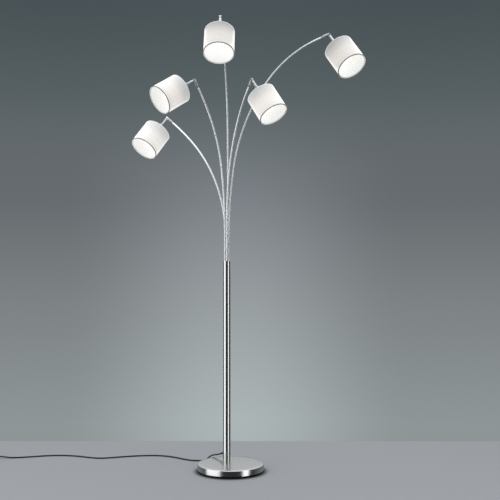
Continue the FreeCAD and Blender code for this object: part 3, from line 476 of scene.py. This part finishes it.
base_satin = metal_paint("base_satin", lathe_grain, 2600.0, 0.24, 0.14, 0.000003)
bm = bmesh.new()
turned(bm, [(0, BASE_TOP), (BASE_R - TOP_RING, BASE_TOP), (BASE_R, BASE_TOP), (BASE_R, RIM_LOW),
            (BASE_R - COVER_WALL, RIM_LOW), (BASE_R - COVER_WALL, BASE_TOP - COVER_WALL),
            (0, BASE_TOP - COVER_WALL)], COVER_STEPS)
rim = [edge for edge in bm.edges
       if all(vert.co.z > BASE_TOP - 1e-5 and vert.co.xy.length > BASE_R - 1e-4 for vert in edge.verts)]
bmesh.ops.bevel(bm, geom=rim, offset=COVER_EDGE_R, affect="EDGES", segments=6, profile=0.5, material=-1)
finish_piece(bm, "base_cover_spun", "stand", base_satin, ["base_cover"], 0.0004)

tray_black = moulded_paint("tray_black", (0.004, 0.004, 0.004), 0.6, 2200.0, 0.00002, 0.15)
pad_foam = moulded_paint("pad_foam", (0.008, 0.008, 0.008), 0.9, 1300.0, 0.00012, 0.1)
weight_iron = moulded_paint("weight_iron", (0.05, 0.05, 0.052), 0.65, 420.0, 0.0002)
paint_node("base_tray", tray_black)
paint_node("base_pad", pad_foam)
paint_node("base_weight", weight_iron)

# ---------------------------------------------------------------------------------------------------
# Pole: a straight steel tube, ground lengthwise and nickel plated. It stands on the cover, on an
# insert that the bolt from below pulls down.
POLE_WALL = 0.0015
POLE_TOP = 0.950
POLE_STEPS = 128
POLE_STRETCH = 0.008


def pole_grain(tree):
    """Coordinates stretched along the pole."""
    return object_place(tree, POLE_AXIS, (1, 1, POLE_STRETCH))


pole_satin = metal_paint("pole_satin", pole_grain, 2400.0, 0.15, 0.05, 0.0000015)
bm = bmesh.new()
bore_r = POLE_R - POLE_WALL
turned(bm, [(POLE_R, BASE_TOP), (POLE_R, POLE_TOP), (bore_r, POLE_TOP), (bore_r, BASE_TOP)],
       POLE_STEPS, Matrix.Translation(POLE_AXIS), closed=True)
finish_piece(bm, "pole_tube", "stand", pole_satin, ["pole"], 0.0003)

# ---------------------------------------------------------------------------------------------------
# Pole head: a turned steel block in the pole's mouth with a ring of bores for the arms. The long screw
# through its middle ends in a small bright knob, and carries the terminal block below.
HEAD_TOP = 0.944
KNOB_R = 0.003
KNOB_TOP = 0.960
KNOB_NECK_R = 0.0026
KNOB_STEPS = 48
DOME_STEPS = 6
SCREW_R = 0.0025
SCREW_LOW = 0.870


def plain_place(tree):
    """Unstretched coordinates."""
    return object_place(tree)


zinc_steel = metal_paint("zinc_steel", plain_place, 1200.0, 0.34, 0.2, 0.00002, (0.50, 0.52, 0.54))
bright_nickel = metal_paint("bright_nickel", plain_place, 2500.0, 0.14, 0.05, 0.0000005, (0.66, 0.65, 0.63))
for node in ("pole_head", "pole_insert", "foot_bolt"):
    paint_node(node, zinc_steel)
paint_node("terminal_block", moulded_paint("terminal_plastic", (0.75, 0.75, 0.72), 0.4))
paint_node("pole_lead", cord_sheath)
bm = bmesh.new()
dome = [(KNOB_R * math.cos(a), KNOB_TOP - KNOB_R + KNOB_R * math.sin(a))
        for a in (math.pi / 2 * i / DOME_STEPS for i in range(DOME_STEPS))]
turned(bm, [(0, HEAD_TOP), (KNOB_R, HEAD_TOP), (KNOB_R, HEAD_TOP + 0.004), (KNOB_NECK_R, HEAD_TOP + 0.0045),
            (KNOB_NECK_R, HEAD_TOP + 0.0055), (KNOB_R, HEAD_TOP + 0.006)] + dome + [(0, KNOB_TOP)], KNOB_STEPS,
       Matrix.Translation(POLE_AXIS))
turned(bm, [(0, SCREW_LOW), (SCREW_R, SCREW_LOW), (SCREW_R, HEAD_TOP), (0, HEAD_TOP)], 24,
       Matrix.Translation(POLE_AXIS))
finish_piece(bm, "head_knob", "stand", bright_nickel, ["head_screw"])

# ---------------------------------------------------------------------------------------------------
# Cord grommet: moulded black rubber, snapped into the pole's wall. A saddle flange sits on the pole,
# and a tapered, grooved relief keeps the cord from kinking.
FLANGE_R = 0.0075
FLANGE_SINK = 0.0018
FLANGE_TOP = 0.0025
FLANGE_EASE = 0.0006
RELIEF_ROOT_R = 0.006
RELIEF_TIP_R = 0.0044
RELIEF_TIP_EASE = 0.0003
RELIEF_GROOVES = 5
GROOVE_DEPTH = 0.0008
# One rib and its groove, as shares of their length and the depth there.
GROOVE_FORM = ((0.05, 0), (0.55, 0), (0.68, GROOVE_DEPTH), (0.92, GROOVE_DEPTH))
CORD_BORE_R = 0.00325
CORD_BORE_DEPTH = 0.002


def facing(origin, z_way, x_way):
    """The placement whose Z runs along z_way, with its X near x_way."""
    z = Vector(z_way).normalized()
    y = z.cross(Vector(x_way)).normalized()
    x = y.cross(z)
    return Matrix.Translation(origin) @ Matrix((x, y, z)).transposed().to_4x4()


grommet_rubber = moulded_paint("grommet_rubber", (0.014, 0.014, 0.014), 0.55, 1500.0)
outline = [(0, -FLANGE_SINK), (FLANGE_R, -FLANGE_SINK), (FLANGE_R, FLANGE_TOP - FLANGE_EASE),
           (FLANGE_R - FLANGE_EASE, FLANGE_TOP)]
pitch = (RELIEF_LENGTH - FLANGE_TOP) / RELIEF_GROOVES
for groove in range(RELIEF_GROOVES):
    low = FLANGE_TOP + groove * pitch
    for share, depth in GROOVE_FORM:
        radius = RELIEF_ROOT_R + (RELIEF_TIP_R - RELIEF_ROOT_R) * (groove + share) / RELIEF_GROOVES
        outline.append((radius - depth, low + share * pitch))
outline += [(RELIEF_TIP_R, RELIEF_LENGTH - RELIEF_TIP_EASE), (RELIEF_TIP_R - RELIEF_TIP_EASE, RELIEF_LENGTH),
            (CORD_BORE_R, RELIEF_LENGTH), (CORD_BORE_R, RELIEF_LENGTH - CORD_BORE_DEPTH),
            (0, RELIEF_LENGTH - CORD_BORE_DEPTH)]
bm = bmesh.new()
turned(bm, outline, 48, facing(EXIT_PLACE, EXIT_WAY, (0, 0, 1)))
finish_piece(bm, "cord_relief", "stand", grommet_rubber, ["cord_grommet"])

# ---------------------------------------------------------------------------------------------------
# Foot switch: two moulded black shells with a round button to tread on, and a collar for the cord at
# each end. The button goes down three millimetres and springs back.
def cad_piece(node, name, body, material, edge=0.0):
    """A piece with a CAD node's own form: a merged copy of its mesh, with its flat faces whole again."""
    bm = bmesh.new()
    bm.from_mesh(frame["nodes"][node].data)
    bmesh.ops.remove_doubles(bm, verts=bm.verts, dist=1e-6)
    bmesh.ops.dissolve_limit(bm, angle_limit=math.radians(0.5), verts=bm.verts, edges=bm.edges)
    return finish_piece(bm, name, body, material, [node], edge)


switch_plastic = moulded_paint("switch_plastic", (0.013, 0.013, 0.014), 0.42, 1900.0)
button_plastic = moulded_paint("button_plastic", (0.02, 0.02, 0.021), 0.5, 1900.0)
switch_base = cad_piece("switch_base", "switch_tub", "stand", switch_plastic, 0.0005)
switch_cover = cad_piece("switch_cover", "switch_lid", "stand", switch_plastic, 0.0004)
button = cad_piece("switch_button", "switch_knob", "button", button_plastic, 0.0003)

# ---------------------------------------------------------------------------------------------------
# Coil tie and plug: a black strap holds the turns together, and a round moulded plug with two plated
# pins lies beside them.
tie_plastic = moulded_paint("tie_plastic", (0.02, 0.02, 0.02), 0.45, 1200.0)
pin_nickel = metal_paint("pin_nickel", plain_place, 2500.0, 0.2, 0.08, 0.0000008, (0.66, 0.63, 0.58))
tie = cad_piece("cord_tie", "coil_strap", "stand", tie_plastic, 0.0002)
plug = cad_piece("plug_body", "plug_shell", "stand", switch_plastic, 0.0005)
pins = cad_piece("plug_pins", "plug_contacts", "stand", pin_nickel)

# ---------------------------------------------------------------------------------------------------
# Arms: thin-walled steel tube, bent in one plane on three radii and satin nickel plated. Each foot
# stands in a bore of the pole head, held by a bead above and below.
TUBE_R = 0.004
ARM_FOOT = 0.8985
BEAD_R = 0.0048
BEAD_LENGTH = 0.0022
BEAD_SINK = 0.0002
BEAD_EASE_IN = 0.0004
BEAD_EASE_UP = 0.0005
BEAD_GAP = 0.0003
HEAD_LOW = 0.904
ARM_STRAIGHT = 0.036
SLEEVE_BORE_END = 0.016
TUBE_SIDES = 24
BEND_STEP = math.radians(1.0)
# The lower and middle bend of each arm, as radius and degrees, and the way that its head points.
ARMS = {
    "centre": {"lower": (7.000, 3.5), "middle": (0.520, 19.0), "aim": (-2, -72, -129)},
    "right_low": {"lower": (2.600, 4.0), "middle": (0.900, 20.0), "aim": (68, -54, -119)},
    "far_right": {"lower": (2.200, 8.5), "middle": (0.800, 28.5), "aim": (65, -71, -116)},
    "left_high": {"lower": (2.600, 7.0), "middle": (0.800, 18.5), "aim": (-103, -70, -76)},
    "left_low": {"lower": (1.650, 4.0), "middle": (0.650, 38.5), "aim": (-71, -67, -112)},
}
joints = {joint["name"]: joint for joint in frame["joints"]}
UP = Vector((0, 0, 1))


def arm_places(name):
    """An arm's foot, its knuckle's pivot, its end direction, its head's direction and its screw's axis."""
    foot = Vector(joints[f"arm_{name}_swivel"]["pos_m"])
    turn = joints[f"head_{name}_turn"]
    tilt = joints[f"head_{name}_tilt"]
    aim = Vector(ARMS[name]["aim"]).normalized()
    return foot, Vector(turn["pos_m"]), Vector(turn["axis"]), aim, Vector(tilt["axis"])


def bent_tube(bm, name):
    """The arm's tube: a ring pushed up the pole head, round each bend and out to the knuckle."""
    foot, pivot, end_way, _, _ = arm_places(name)
    level = (pivot - foot).to_2d().normalized().to_3d()
    lean_end = end_way.angle(UP)
    lower_r, lower_turn = ARMS[name]["lower"][0], math.radians(ARMS[name]["lower"][1])
    middle_r, middle_turn = ARMS[name]["middle"][0], math.radians(ARMS[name]["middle"][1])
    lean_low = lower_turn + middle_turn
    out = lower_r * (1 - math.cos(lower_turn)) + middle_r * (math.cos(lower_turn) - math.cos(lean_low))
    reach = (pivot - foot).to_2d().length - out - ARM_STRAIGHT * math.sin(lean_end)
    upper_r = reach / (math.cos(lean_low) - math.cos(lean_end))
    rise = lower_r * math.sin(lower_turn) + middle_r * (math.sin(lean_low) - math.sin(lower_turn))
    rise += upper_r * (math.sin(lean_end) - math.sin(lean_low)) + ARM_STRAIGHT * math.cos(lean_end)
    spot = Vector((foot.x, foot.y, ARM_FOOT))
    ring = bmesh.ops.create_circle(bm, cap_ends=True, segments=TUBE_SIDES, radius=TUBE_R,
                                   matrix=Matrix.Translation(spot))
    edges = [edge for edge in bm.edges if all(vert in ring["verts"] for vert in edge.verts)]

    def push(edges, way):
        """Extrudes the open end straight on."""
        made = bmesh.ops.extrude_edge_only(bm, edges=edges)["geom"]
        bmesh.ops.translate(bm, vec=way, verts=[part for part in made if isinstance(part, bmesh.types.BMVert)])
        return [part for part in made if isinstance(part, bmesh.types.BMEdge)]

    edges = push(edges, UP * (pivot.z - rise - ARM_FOOT))
    spot = Vector((foot.x, foot.y, pivot.z - rise))
    lean = 0.0
    axis = UP.cross(level)
    for radius, turn in ((lower_r, lower_turn), (middle_r, middle_turn), (upper_r, lean_end - lean_low)):
        inward = level * math.cos(lean) - UP * math.sin(lean)
        centre = spot + inward * radius
        steps = max(2, math.ceil(turn / BEND_STEP))
        made = bmesh.ops.spin(bm, geom=edges, cent=centre, axis=axis, angle=turn, steps=steps)["geom_last"]
        edges = [part for part in made if isinstance(part, bmesh.types.BMEdge)]
        lean += turn
        spot = centre - (level * math.cos(lean) - UP * math.sin(lean)) * radius
    edges = push(edges, end_way * (ARM_STRAIGHT - SLEEVE_BORE_END))
    bmesh.ops.holes_fill(bm, edges=edges, sides=TUBE_SIDES)
    bmesh.ops.recalc_face_normals(bm, faces=bm.faces)


# The arms take nickel painted lighter, as painted light for what they catch.
arm_satin = metal_paint("arm_satin", plain_place, 3200.0, 0.42, 0.06, 0.0000008, LIT_NICKEL)
bead = [(TUBE_R - BEAD_SINK, 0), (BEAD_R - BEAD_EASE_IN, 0), (BEAD_R, BEAD_EASE_UP),
        (BEAD_R, BEAD_LENGTH - BEAD_EASE_UP), (BEAD_R - BEAD_EASE_IN, BEAD_LENGTH),
        (TUBE_R - BEAD_SINK, BEAD_LENGTH)]
for name in ARMS:
    foot = arm_places(name)[0]
    bm = bmesh.new()
    bent_tube(bm, name)
    for low in (HEAD_LOW - BEAD_GAP - BEAD_LENGTH, HEAD_TOP + BEAD_GAP):
        turned(bm, bead, 32, Matrix.Translation((foot.x, foot.y, low)), closed=True)
    finish_piece(bm, f"arm_bent_tube_{name}", f"arm_{name}", arm_satin, [f"arm_tube_{name}"])

# ---------------------------------------------------------------------------------------------------
# Knuckles: a turned sleeve with a milled fork on each arm's end, the head's tongue between its cheeks,
# and a slotted screw through both, tight enough to hold the head where it is put.
# The knuckles take nickel painted darker, as painted shade.
knuckle_satin = metal_paint("knuckle_satin", plain_place, 3000.0, 0.42, 0.08, 0.000001, SHADED_NICKEL)
for name in ARMS:
    body = f"knuckle_{name}"
    cad_piece(f"arm_sleeve_{name}", f"knuckle_fork_{name}", body, knuckle_satin, 0.0003)
    cad_piece(f"pivot_screw_{name}", f"knuckle_screw_{name}", body, bright_nickel, 0.00015)

# ---------------------------------------------------------------------------------------------------
# Heads: a turned stem that opens into a cup, with its tongue milled flat for the knuckle.
for name in ARMS:
    # The stems take the same nickel painted darker, as painted shade.
    cad_piece(f"head_cup_{name}", f"head_stem_{name}", f"head_{name}", knuckle_satin, 0.0003)

# ---------------------------------------------------------------------------------------------------
# Lamp holders: white moulded holders for small screw caps, each seated on its head's cup. The shade
# hangs between the holder's shoulder and a notched ring nut.
CUP_R = 0.015
CUP_END = 0.088
HOLDER_TAIL = 0.0552
HOLDER_TAIL_R = 0.0136
HOLDER_COLLAR = 0.009
HOLDER_FLANGE_R = 0.018
HOLDER_SEAT = 0.0995
HOLDER_SKIRT_R = 0.0139
HOLDER_END = 0.1195
HOLDER_EASE = 0.0004
SOCKET_R = 0.0075
SOCKET_FLOOR = 0.100
NUT_R = 0.021
NUT_LOW = 0.101
NUT_HEIGHT = 0.006
NUT_NOTCHES = 12
NOTCH_DEPTH = 0.075
THREAD_PITCH = 0.0025
THREAD_DEPTH = 0.0006


def head_place(name):
    """The placement of a head: Z along the head from the knuckle's pivot, X along the pivot screw."""
    _, pivot, _, aim, screw = arm_places(name)
    return facing(pivot, aim, screw)


holder_plastic = moulded_paint("holder_plastic", (0.80, 0.80, 0.78), 0.38, 1400.0, 0.00001)
outline = [(0, HOLDER_TAIL), (HOLDER_TAIL_R, HOLDER_TAIL), (HOLDER_TAIL_R, CUP_END), (CUP_R, CUP_END),
           (CUP_R, CUP_END + HOLDER_COLLAR), (HOLDER_FLANGE_R, CUP_END + HOLDER_COLLAR),
           (HOLDER_FLANGE_R, HOLDER_SEAT), (HOLDER_SKIRT_R, HOLDER_SEAT)]
turns = int((HOLDER_END - NUT_LOW - NUT_HEIGHT) / THREAD_PITCH)
for turn in range(turns):
    low = NUT_LOW + NUT_HEIGHT + turn * THREAD_PITCH
    outline += [(HOLDER_SKIRT_R - THREAD_DEPTH, low + 0.2 * THREAD_PITCH),
                (HOLDER_SKIRT_R, low + 0.7 * THREAD_PITCH)]
outline += [(HOLDER_SKIRT_R - HOLDER_EASE, HOLDER_END), (SOCKET_R, HOLDER_END), (SOCKET_R, SOCKET_FLOOR),
            (0, SOCKET_FLOOR)]
nut_section = [(HOLDER_SKIRT_R, NUT_LOW), (NUT_R, NUT_LOW), (NUT_R, NUT_LOW + NUT_HEIGHT),
               (HOLDER_SKIRT_R, NUT_LOW + NUT_HEIGHT)]
for name in ARMS:
    bm = bmesh.new()
    turned(bm, outline, 64, head_place(name))
    nut = turned(bm, nut_section, 96, closed=True)
    for vert in nut:
        if vert.co.xy.length > NUT_R - 0.001:
            dip = max(0.0, math.cos(NUT_NOTCHES * math.atan2(vert.co.y, vert.co.x))) ** 3
            vert.co.xy *= 1 - NOTCH_DEPTH * dip
    bmesh.ops.transform(bm, matrix=head_place(name), verts=nut)
    finish_piece(bm, f"holder_and_nut_{name}", f"head_{name}", holder_plastic,
                 [f"lamp_holder_{name}"], 0.0003)

# ---------------------------------------------------------------------------------------------------
# Bulbs: round opal glass on a threaded nickel cap, lit.
BULB_CAP_START = 0.1005
BULB_CAP_END = 0.1245
BULB_CAP_R = 0.00665
CAP_BUTTON_R = 0.004
CAP_BUTTON = 0.002
CAP_THREADS = 8
CAP_THREAD_DEPTH = 0.00025
CAP_POINTS = 32
BULB_CENTRE = 0.1565
BULB_R = 0.0225
BULB_NECK_R = 0.0085
BALL_START = -math.pi / 2 + math.asin(0.72)
BALL_POINTS = 24
OPAL_WARM = (1.0, 0.93, 0.84, 1)
OPAL_PALE = (1.0, 0.96, 0.90, 1)
OPAL_GLOW = 0.6

opal_glow, tree = new_tree("opal_glow")
uneven = noise(tree, object_place(tree), 60.0)
shader = add_node(tree, "ShaderNodeBsdfPrincipled", {
    "Base Color": (0.92, 0.91, 0.88, 1), "Roughness": 0.25, "Emission Strength": OPAL_GLOW,
    "Emission Color": mix_colour(tree, uneven, OPAL_WARM, OPAL_PALE),
    "Normal": bump_node(tree, uneven, 0.00002)})
add_node(tree, "ShaderNodeOutputMaterial", {"Surface": shader.outputs[0]})
opal_glow.cycles.emission_sampling = "NONE"

glass = [(0, BULB_CAP_END), (BULB_NECK_R, BULB_CAP_END), (BULB_NECK_R + 0.0012, BULB_CAP_END + 0.004)]
for step in range(BALL_POINTS):
    angle = BALL_START + (math.pi / 2 - BALL_START) * step / BALL_POINTS
    glass.append((BULB_R * math.cos(angle), BULB_CENTRE + BULB_R * math.sin(angle)))
glass.append((0, BULB_CENTRE + BULB_R))
cap = [(0, BULB_CAP_START), (CAP_BUTTON_R, BULB_CAP_START)]
for step in range(CAP_POINTS + 1):
    share = step / CAP_POINTS
    height = BULB_CAP_START + CAP_BUTTON + (BULB_CAP_END - BULB_CAP_START - CAP_BUTTON) * share
    cap.append((BULB_CAP_R + CAP_THREAD_DEPTH * math.sin(2 * math.pi * share * CAP_THREADS), height))
cap += [(BULB_NECK_R - 0.0005, BULB_CAP_END + 0.0002), (0, BULB_CAP_END + 0.0002)]
for name in ARMS:
    bm = bmesh.new()
    turned(bm, glass, 64, head_place(name))
    ball_faces = set(bm.faces)
    turned(bm, cap, 48, head_place(name))
    for face in bm.faces:
        if face not in ball_faces:
            face.material_index = 1
    finish_piece(bm, f"opal_bulb_{name}", f"head_{name}", [opal_glow, pin_nickel],
                 [f"bulb_{name}"])

# ---------------------------------------------------------------------------------------------------
# Shade frames: white coated wire. A ring stiffens each end of the shade, and three spokes carry the
# upper one from the washer under the ring nut.
SHADE_START = 0.087
SHADE_END = 0.207
SHADE_TOP_R = 0.0644
SHADE_R = 0.0650
SHADE_WALL = 0.0012
WIRE_R = 0.0015
WIRE_GAP = 0.0001
RING_INSET = 0.0025
RING_STEPS = 96
FITTER_BORE_R = 0.0142
FITTER_R = 0.022
FITTER_TOP = 0.101
FITTER_MIDDLE = HOLDER_SEAT + 0.00075
SPOKES = 3


def shade_radius(along):
    """The shade's outside radius at a place along the head."""
    return SHADE_TOP_R + (SHADE_R - SHADE_TOP_R) * (along - SHADE_START) / (SHADE_END - SHADE_START)


def ring_radius(along):
    """The radius of a wire ring that lies against the cloth there."""
    return shade_radius(along) - SHADE_WALL - WIRE_GAP - WIRE_R


frame_coat = moulded_paint("frame_coat", (0.78, 0.78, 0.76), 0.35, 1100.0, 0.00001)
ring_top = SHADE_START + RING_INSET
washer = [(FITTER_BORE_R, HOLDER_SEAT), (FITTER_R, HOLDER_SEAT), (FITTER_R, FITTER_TOP),
          (FITTER_BORE_R, FITTER_TOP)]
for name in ARMS:
    bm = bmesh.new()
    for along in (ring_top, SHADE_END - RING_INSET):
        section = [(ring_radius(along) + WIRE_R * math.cos(a), along + WIRE_R * math.sin(a))
                   for a in (math.pi * i / 6 for i in range(12))]
        turned(bm, section, RING_STEPS, head_place(name), closed=True)
    turned(bm, washer, 64, head_place(name), closed=True)
    for spoke in range(SPOKES):
        way = Vector((math.cos(2 * math.pi * spoke / SPOKES), math.sin(2 * math.pi * spoke / SPOKES), 0))
        inner = way * (FITTER_R - WIRE_R) + UP * FITTER_MIDDLE
        outer = way * ring_radius(ring_top) + UP * ring_top
        run = outer - inner
        place = head_place(name) @ facing((inner + outer) / 2, run, way.cross(UP))
        bmesh.ops.create_cone(bm, cap_ends=True, segments=12, radius1=WIRE_R, radius2=WIRE_R, depth=run.length,
                              matrix=place)
    finish_piece(bm, f"shade_wires_{name}", f"head_{name}", frame_coat, [f"shade_frame_{name}"])

# ---------------------------------------------------------------------------------------------------
# Shades: white plain-weave cloth on a stiff clear backing, rolled into a drum with a lapped seam at the
# back and turned over the rings at both ends. A narrow grey tape edges the mouth.
SHADE_STEPS = 200
HEM = 0.006
HEM_RISE = 0.0003
HEM_ROUND = 0.0008
HEM_STEP = 0.0006
SEAM_HALF = math.radians(3.6)
SEAM_RISE = 0.0004
TAPE_WIDTH = 0.0035
TAPE_RISE = 0.0004
THREADS_PER_METRE = 1400.0
SLUB = 0.6
# Noise stretched along one set of threads or the other.
ALONG_WEFT = (0.5, 0.02, 0.5)
ALONG_WARP = (0.02, 0.5, 0.5)

weave, entry, out = new_group(
    "plain_weave", [("Threads", "Vector"), ("Slub", "Float")], [("Height", "Float"), ("Shade", "Float")])


def thread_backs(across):
    """The rounded backs of threads that lie side by side."""
    wave = math_node(weave, "SINE", math_node(weave, "MULTIPLY", across, math.pi))
    return math_node(weave, "ABSOLUTE", wave)


def slubs_along(stretch):
    """Thick and thin places along the threads."""
    drawn = add_node(weave, "ShaderNodeVectorMath", {0: entry["Threads"], 1: stretch}, operation="MULTIPLY")
    return noise(weave, drawn.outputs[0], 1.0)


axes = add_node(weave, "ShaderNodeSeparateXYZ", {0: entry["Threads"]}).outputs
over = add_node(weave, "ShaderNodeTexChecker", {
    "Vector": entry["Threads"], "Color1": (1, 1, 1, 1), "Color2": (0, 0, 0, 1), "Scale": 1.0}).outputs["Fac"]
crossing = add_node(weave, "ShaderNodeMix", {
    "Factor": over, 2: thread_backs(axes[0]), 3: thread_backs(axes[1])}, data_type="FLOAT").outputs[0]
slubs = math_node(weave, "ADD", slubs_along(ALONG_WEFT), slubs_along(ALONG_WARP))
uneven = math_node(weave, "MULTIPLY", math_node(weave, "SUBTRACT", slubs, 1.0), entry["Slub"])
weave.links.new(math_node(weave, "ADD", crossing, uneven), out["Height"])
thickness = math_node(weave, "ADD", math_node(weave, "MULTIPLY", crossing, 0.35),
                      math_node(weave, "ADD", uneven, 0.6))
weave.links.new(thickness, out["Shade"])

# What the bulb inside sends through the cloth, by the place from the top at 0 to the mouth at 1. The
# studio lights the shades unevenly, so each one's glow is lifted or lowered until they look alike.
SHADE_GLOW = (
    (0.0, (0.15, 0.17, 0.18, 1)), (0.25, (0.19, 0.17, 0.16, 1)), (0.5, (0.38, 0.35, 0.32, 1)),
    (0.75, (0.44, 0.4, 0.36, 1)), (1.0, (0.25, 0.22, 0.19, 1)))
SHADE_LIFT = {"centre": -0.15, "right_low": 0.05, "far_right": -0.1, "left_high": 0.09, "left_low": 0.12}
LINING_STOPS = (
    (0.0, (0.75, 0.74, 0.73, 1)), (0.5, (1.0, 0.995, 0.985, 1)), (1.0, (0.95, 0.945, 0.935, 1)))
LINING_GLOW = 0.550
OUTLINE_LIGHT = (1.0, 0.98, 0.95, 1)
OUTLINE_GLOW = (
    (0.03, (0, 0, 0, 1)), (0.3, (0.12, 0.12, 0.12, 1)), (0.55, (0.22, 0.22, 0.22, 1)),
    (0.8, (0.7, 0.7, 0.7, 1)))


def cloth_paint(name, glow_stops, strength, lift=0.0):
    """White shade cloth that glows by its place from top to mouth."""
    material, tree = new_tree(name)
    along = add_node(tree, "ShaderNodeUVMap", uv_map="cloth").outputs[0]
    counted = {0: along, 1: (THREADS_PER_METRE,) * 3}
    threads = add_node(tree, "ShaderNodeVectorMath", counted, operation="MULTIPLY")
    cloth = add_node(tree, "ShaderNodeGroup", node_tree=weave)
    tree.links.new(threads.outputs[0], cloth.inputs["Threads"])
    cloth.inputs["Slub"].default_value = SLUB
    down = add_node(tree, "ShaderNodeSeparateXYZ", {0: along}).outputs["Y"]
    place = math_node(tree, "DIVIDE", down, SHADE_END - SHADE_START)
    lifted = [(at, (*(max(0.0, part + lift) for part in colour[:3]), 1)) for at, colour in glow_stops]
    threadwise = fade_node(tree, cloth.outputs["Shade"], 0.4, 1.1, 0.93, 1.0)
    woven = add_node(tree, "ShaderNodeCombineColor", {0: threadwise, 1: threadwise, 2: threadwise}).outputs[0]
    lit = mix_colour(tree, 1.0, ramp(tree, place, lifted), woven, "MULTIPLY")
    # At its outline the eye looks along the threads, where more of the light inside comes through.
    outline = ramp(tree, add_node(tree, "ShaderNodeLayerWeight").outputs["Facing"], OUTLINE_GLOW)
    shader = add_node(tree, "ShaderNodeBsdfPrincipled", {
        "Base Color": (0.48, 0.48, 0.47, 1), "Roughness": 0.85, "Sheen Weight": 0.25, "Sheen Roughness": 0.35,
        "Emission Color": mix_colour(tree, outline, lit, OUTLINE_LIGHT), "Emission Strength": strength,
        "Normal": bump_node(tree, cloth.outputs["Height"], 0.00006)})
    add_node(tree, "ShaderNodeOutputMaterial", {"Surface": shader.outputs[0]})
    material.cycles.emission_sampling = "NONE"
    return material


shade_lining = cloth_paint("shade_lining", LINING_STOPS, LINING_GLOW)
hem_tape = moulded_paint("hem_tape", (0.15, 0.14, 0.13), 0.8, 1800.0, 0.00005)
outer = [(shade_radius(a) + rise, a) for a, rise in (
    (SHADE_START, 0), (SHADE_START + HEM_ROUND, HEM_RISE), (SHADE_START + HEM, HEM_RISE),
    (SHADE_START + HEM + HEM_STEP, 0), (SHADE_START + 0.03, 0), (SHADE_START + 0.06, 0),
    (SHADE_START + 0.09, 0), (SHADE_END - HEM - HEM_STEP, 0), (SHADE_END - HEM, HEM_RISE),
    (SHADE_END - HEM_ROUND, HEM_RISE), (SHADE_END, 0))]
inner = [(shade_radius(a) - SHADE_WALL, a) for a in (SHADE_END, SHADE_START + 0.06, SHADE_START)]
tape_low = SHADE_END - TAPE_WIDTH
tape_r = SHADE_R + HEM_RISE + TAPE_RISE
tape = [(shade_radius(tape_low) + HEM_RISE - 0.0002, tape_low), (tape_r, tape_low + 0.0003),
        (tape_r, SHADE_END - 0.0002), (SHADE_R + HEM_RISE, SHADE_END + 0.0003),
        (SHADE_R - 0.0006, SHADE_END + 0.0003), (SHADE_R - 0.0006, SHADE_END - 0.0002)]
for name in ARMS:
    shade_cloth = cloth_paint(f"shade_cloth_{name}", SHADE_GLOW, 1.0, SHADE_LIFT[name])
    bm = bmesh.new()
    drum = turned(bm, outer + inner, SHADE_STEPS, closed=True)
    cloth_map = bm.loops.layers.uv.new("cloth")
    for face in bm.faces:
        middle = face.calc_center_median()
        centre_angle = math.atan2(middle.y, middle.x)
        outside = middle.xy.length > shade_radius(middle.z) - SHADE_WALL / 2
        face.material_index = 0 if outside else 1
        for loop in face.loops:
            angle = math.atan2(loop.vert.co.y, loop.vert.co.x)
            angle += 2 * math.pi * round((centre_angle - angle) / (2 * math.pi))
            loop[cloth_map].uv = (angle * SHADE_R, loop.vert.co.z - SHADE_START)
    for vert in drum:
        angle = math.atan2(vert.co.y, vert.co.x)
        if abs(angle) < SEAM_HALF and vert.co.xy.length > shade_radius(vert.co.z) - SHADE_WALL / 2:
            vert.co.xy *= 1 + SEAM_RISE / SHADE_R
    bmesh.ops.transform(bm, matrix=head_place(name), verts=drum)
    finish_piece(bm, f"shade_drum_{name}", f"head_{name}", [shade_cloth, shade_lining],
                 [f"shade_fabric_{name}"])
    bm = bmesh.new()
    turned(bm, tape, SHADE_STEPS, head_place(name), closed=True)
    finish_piece(bm, f"shade_tape_{name}", f"head_{name}", hem_tape)
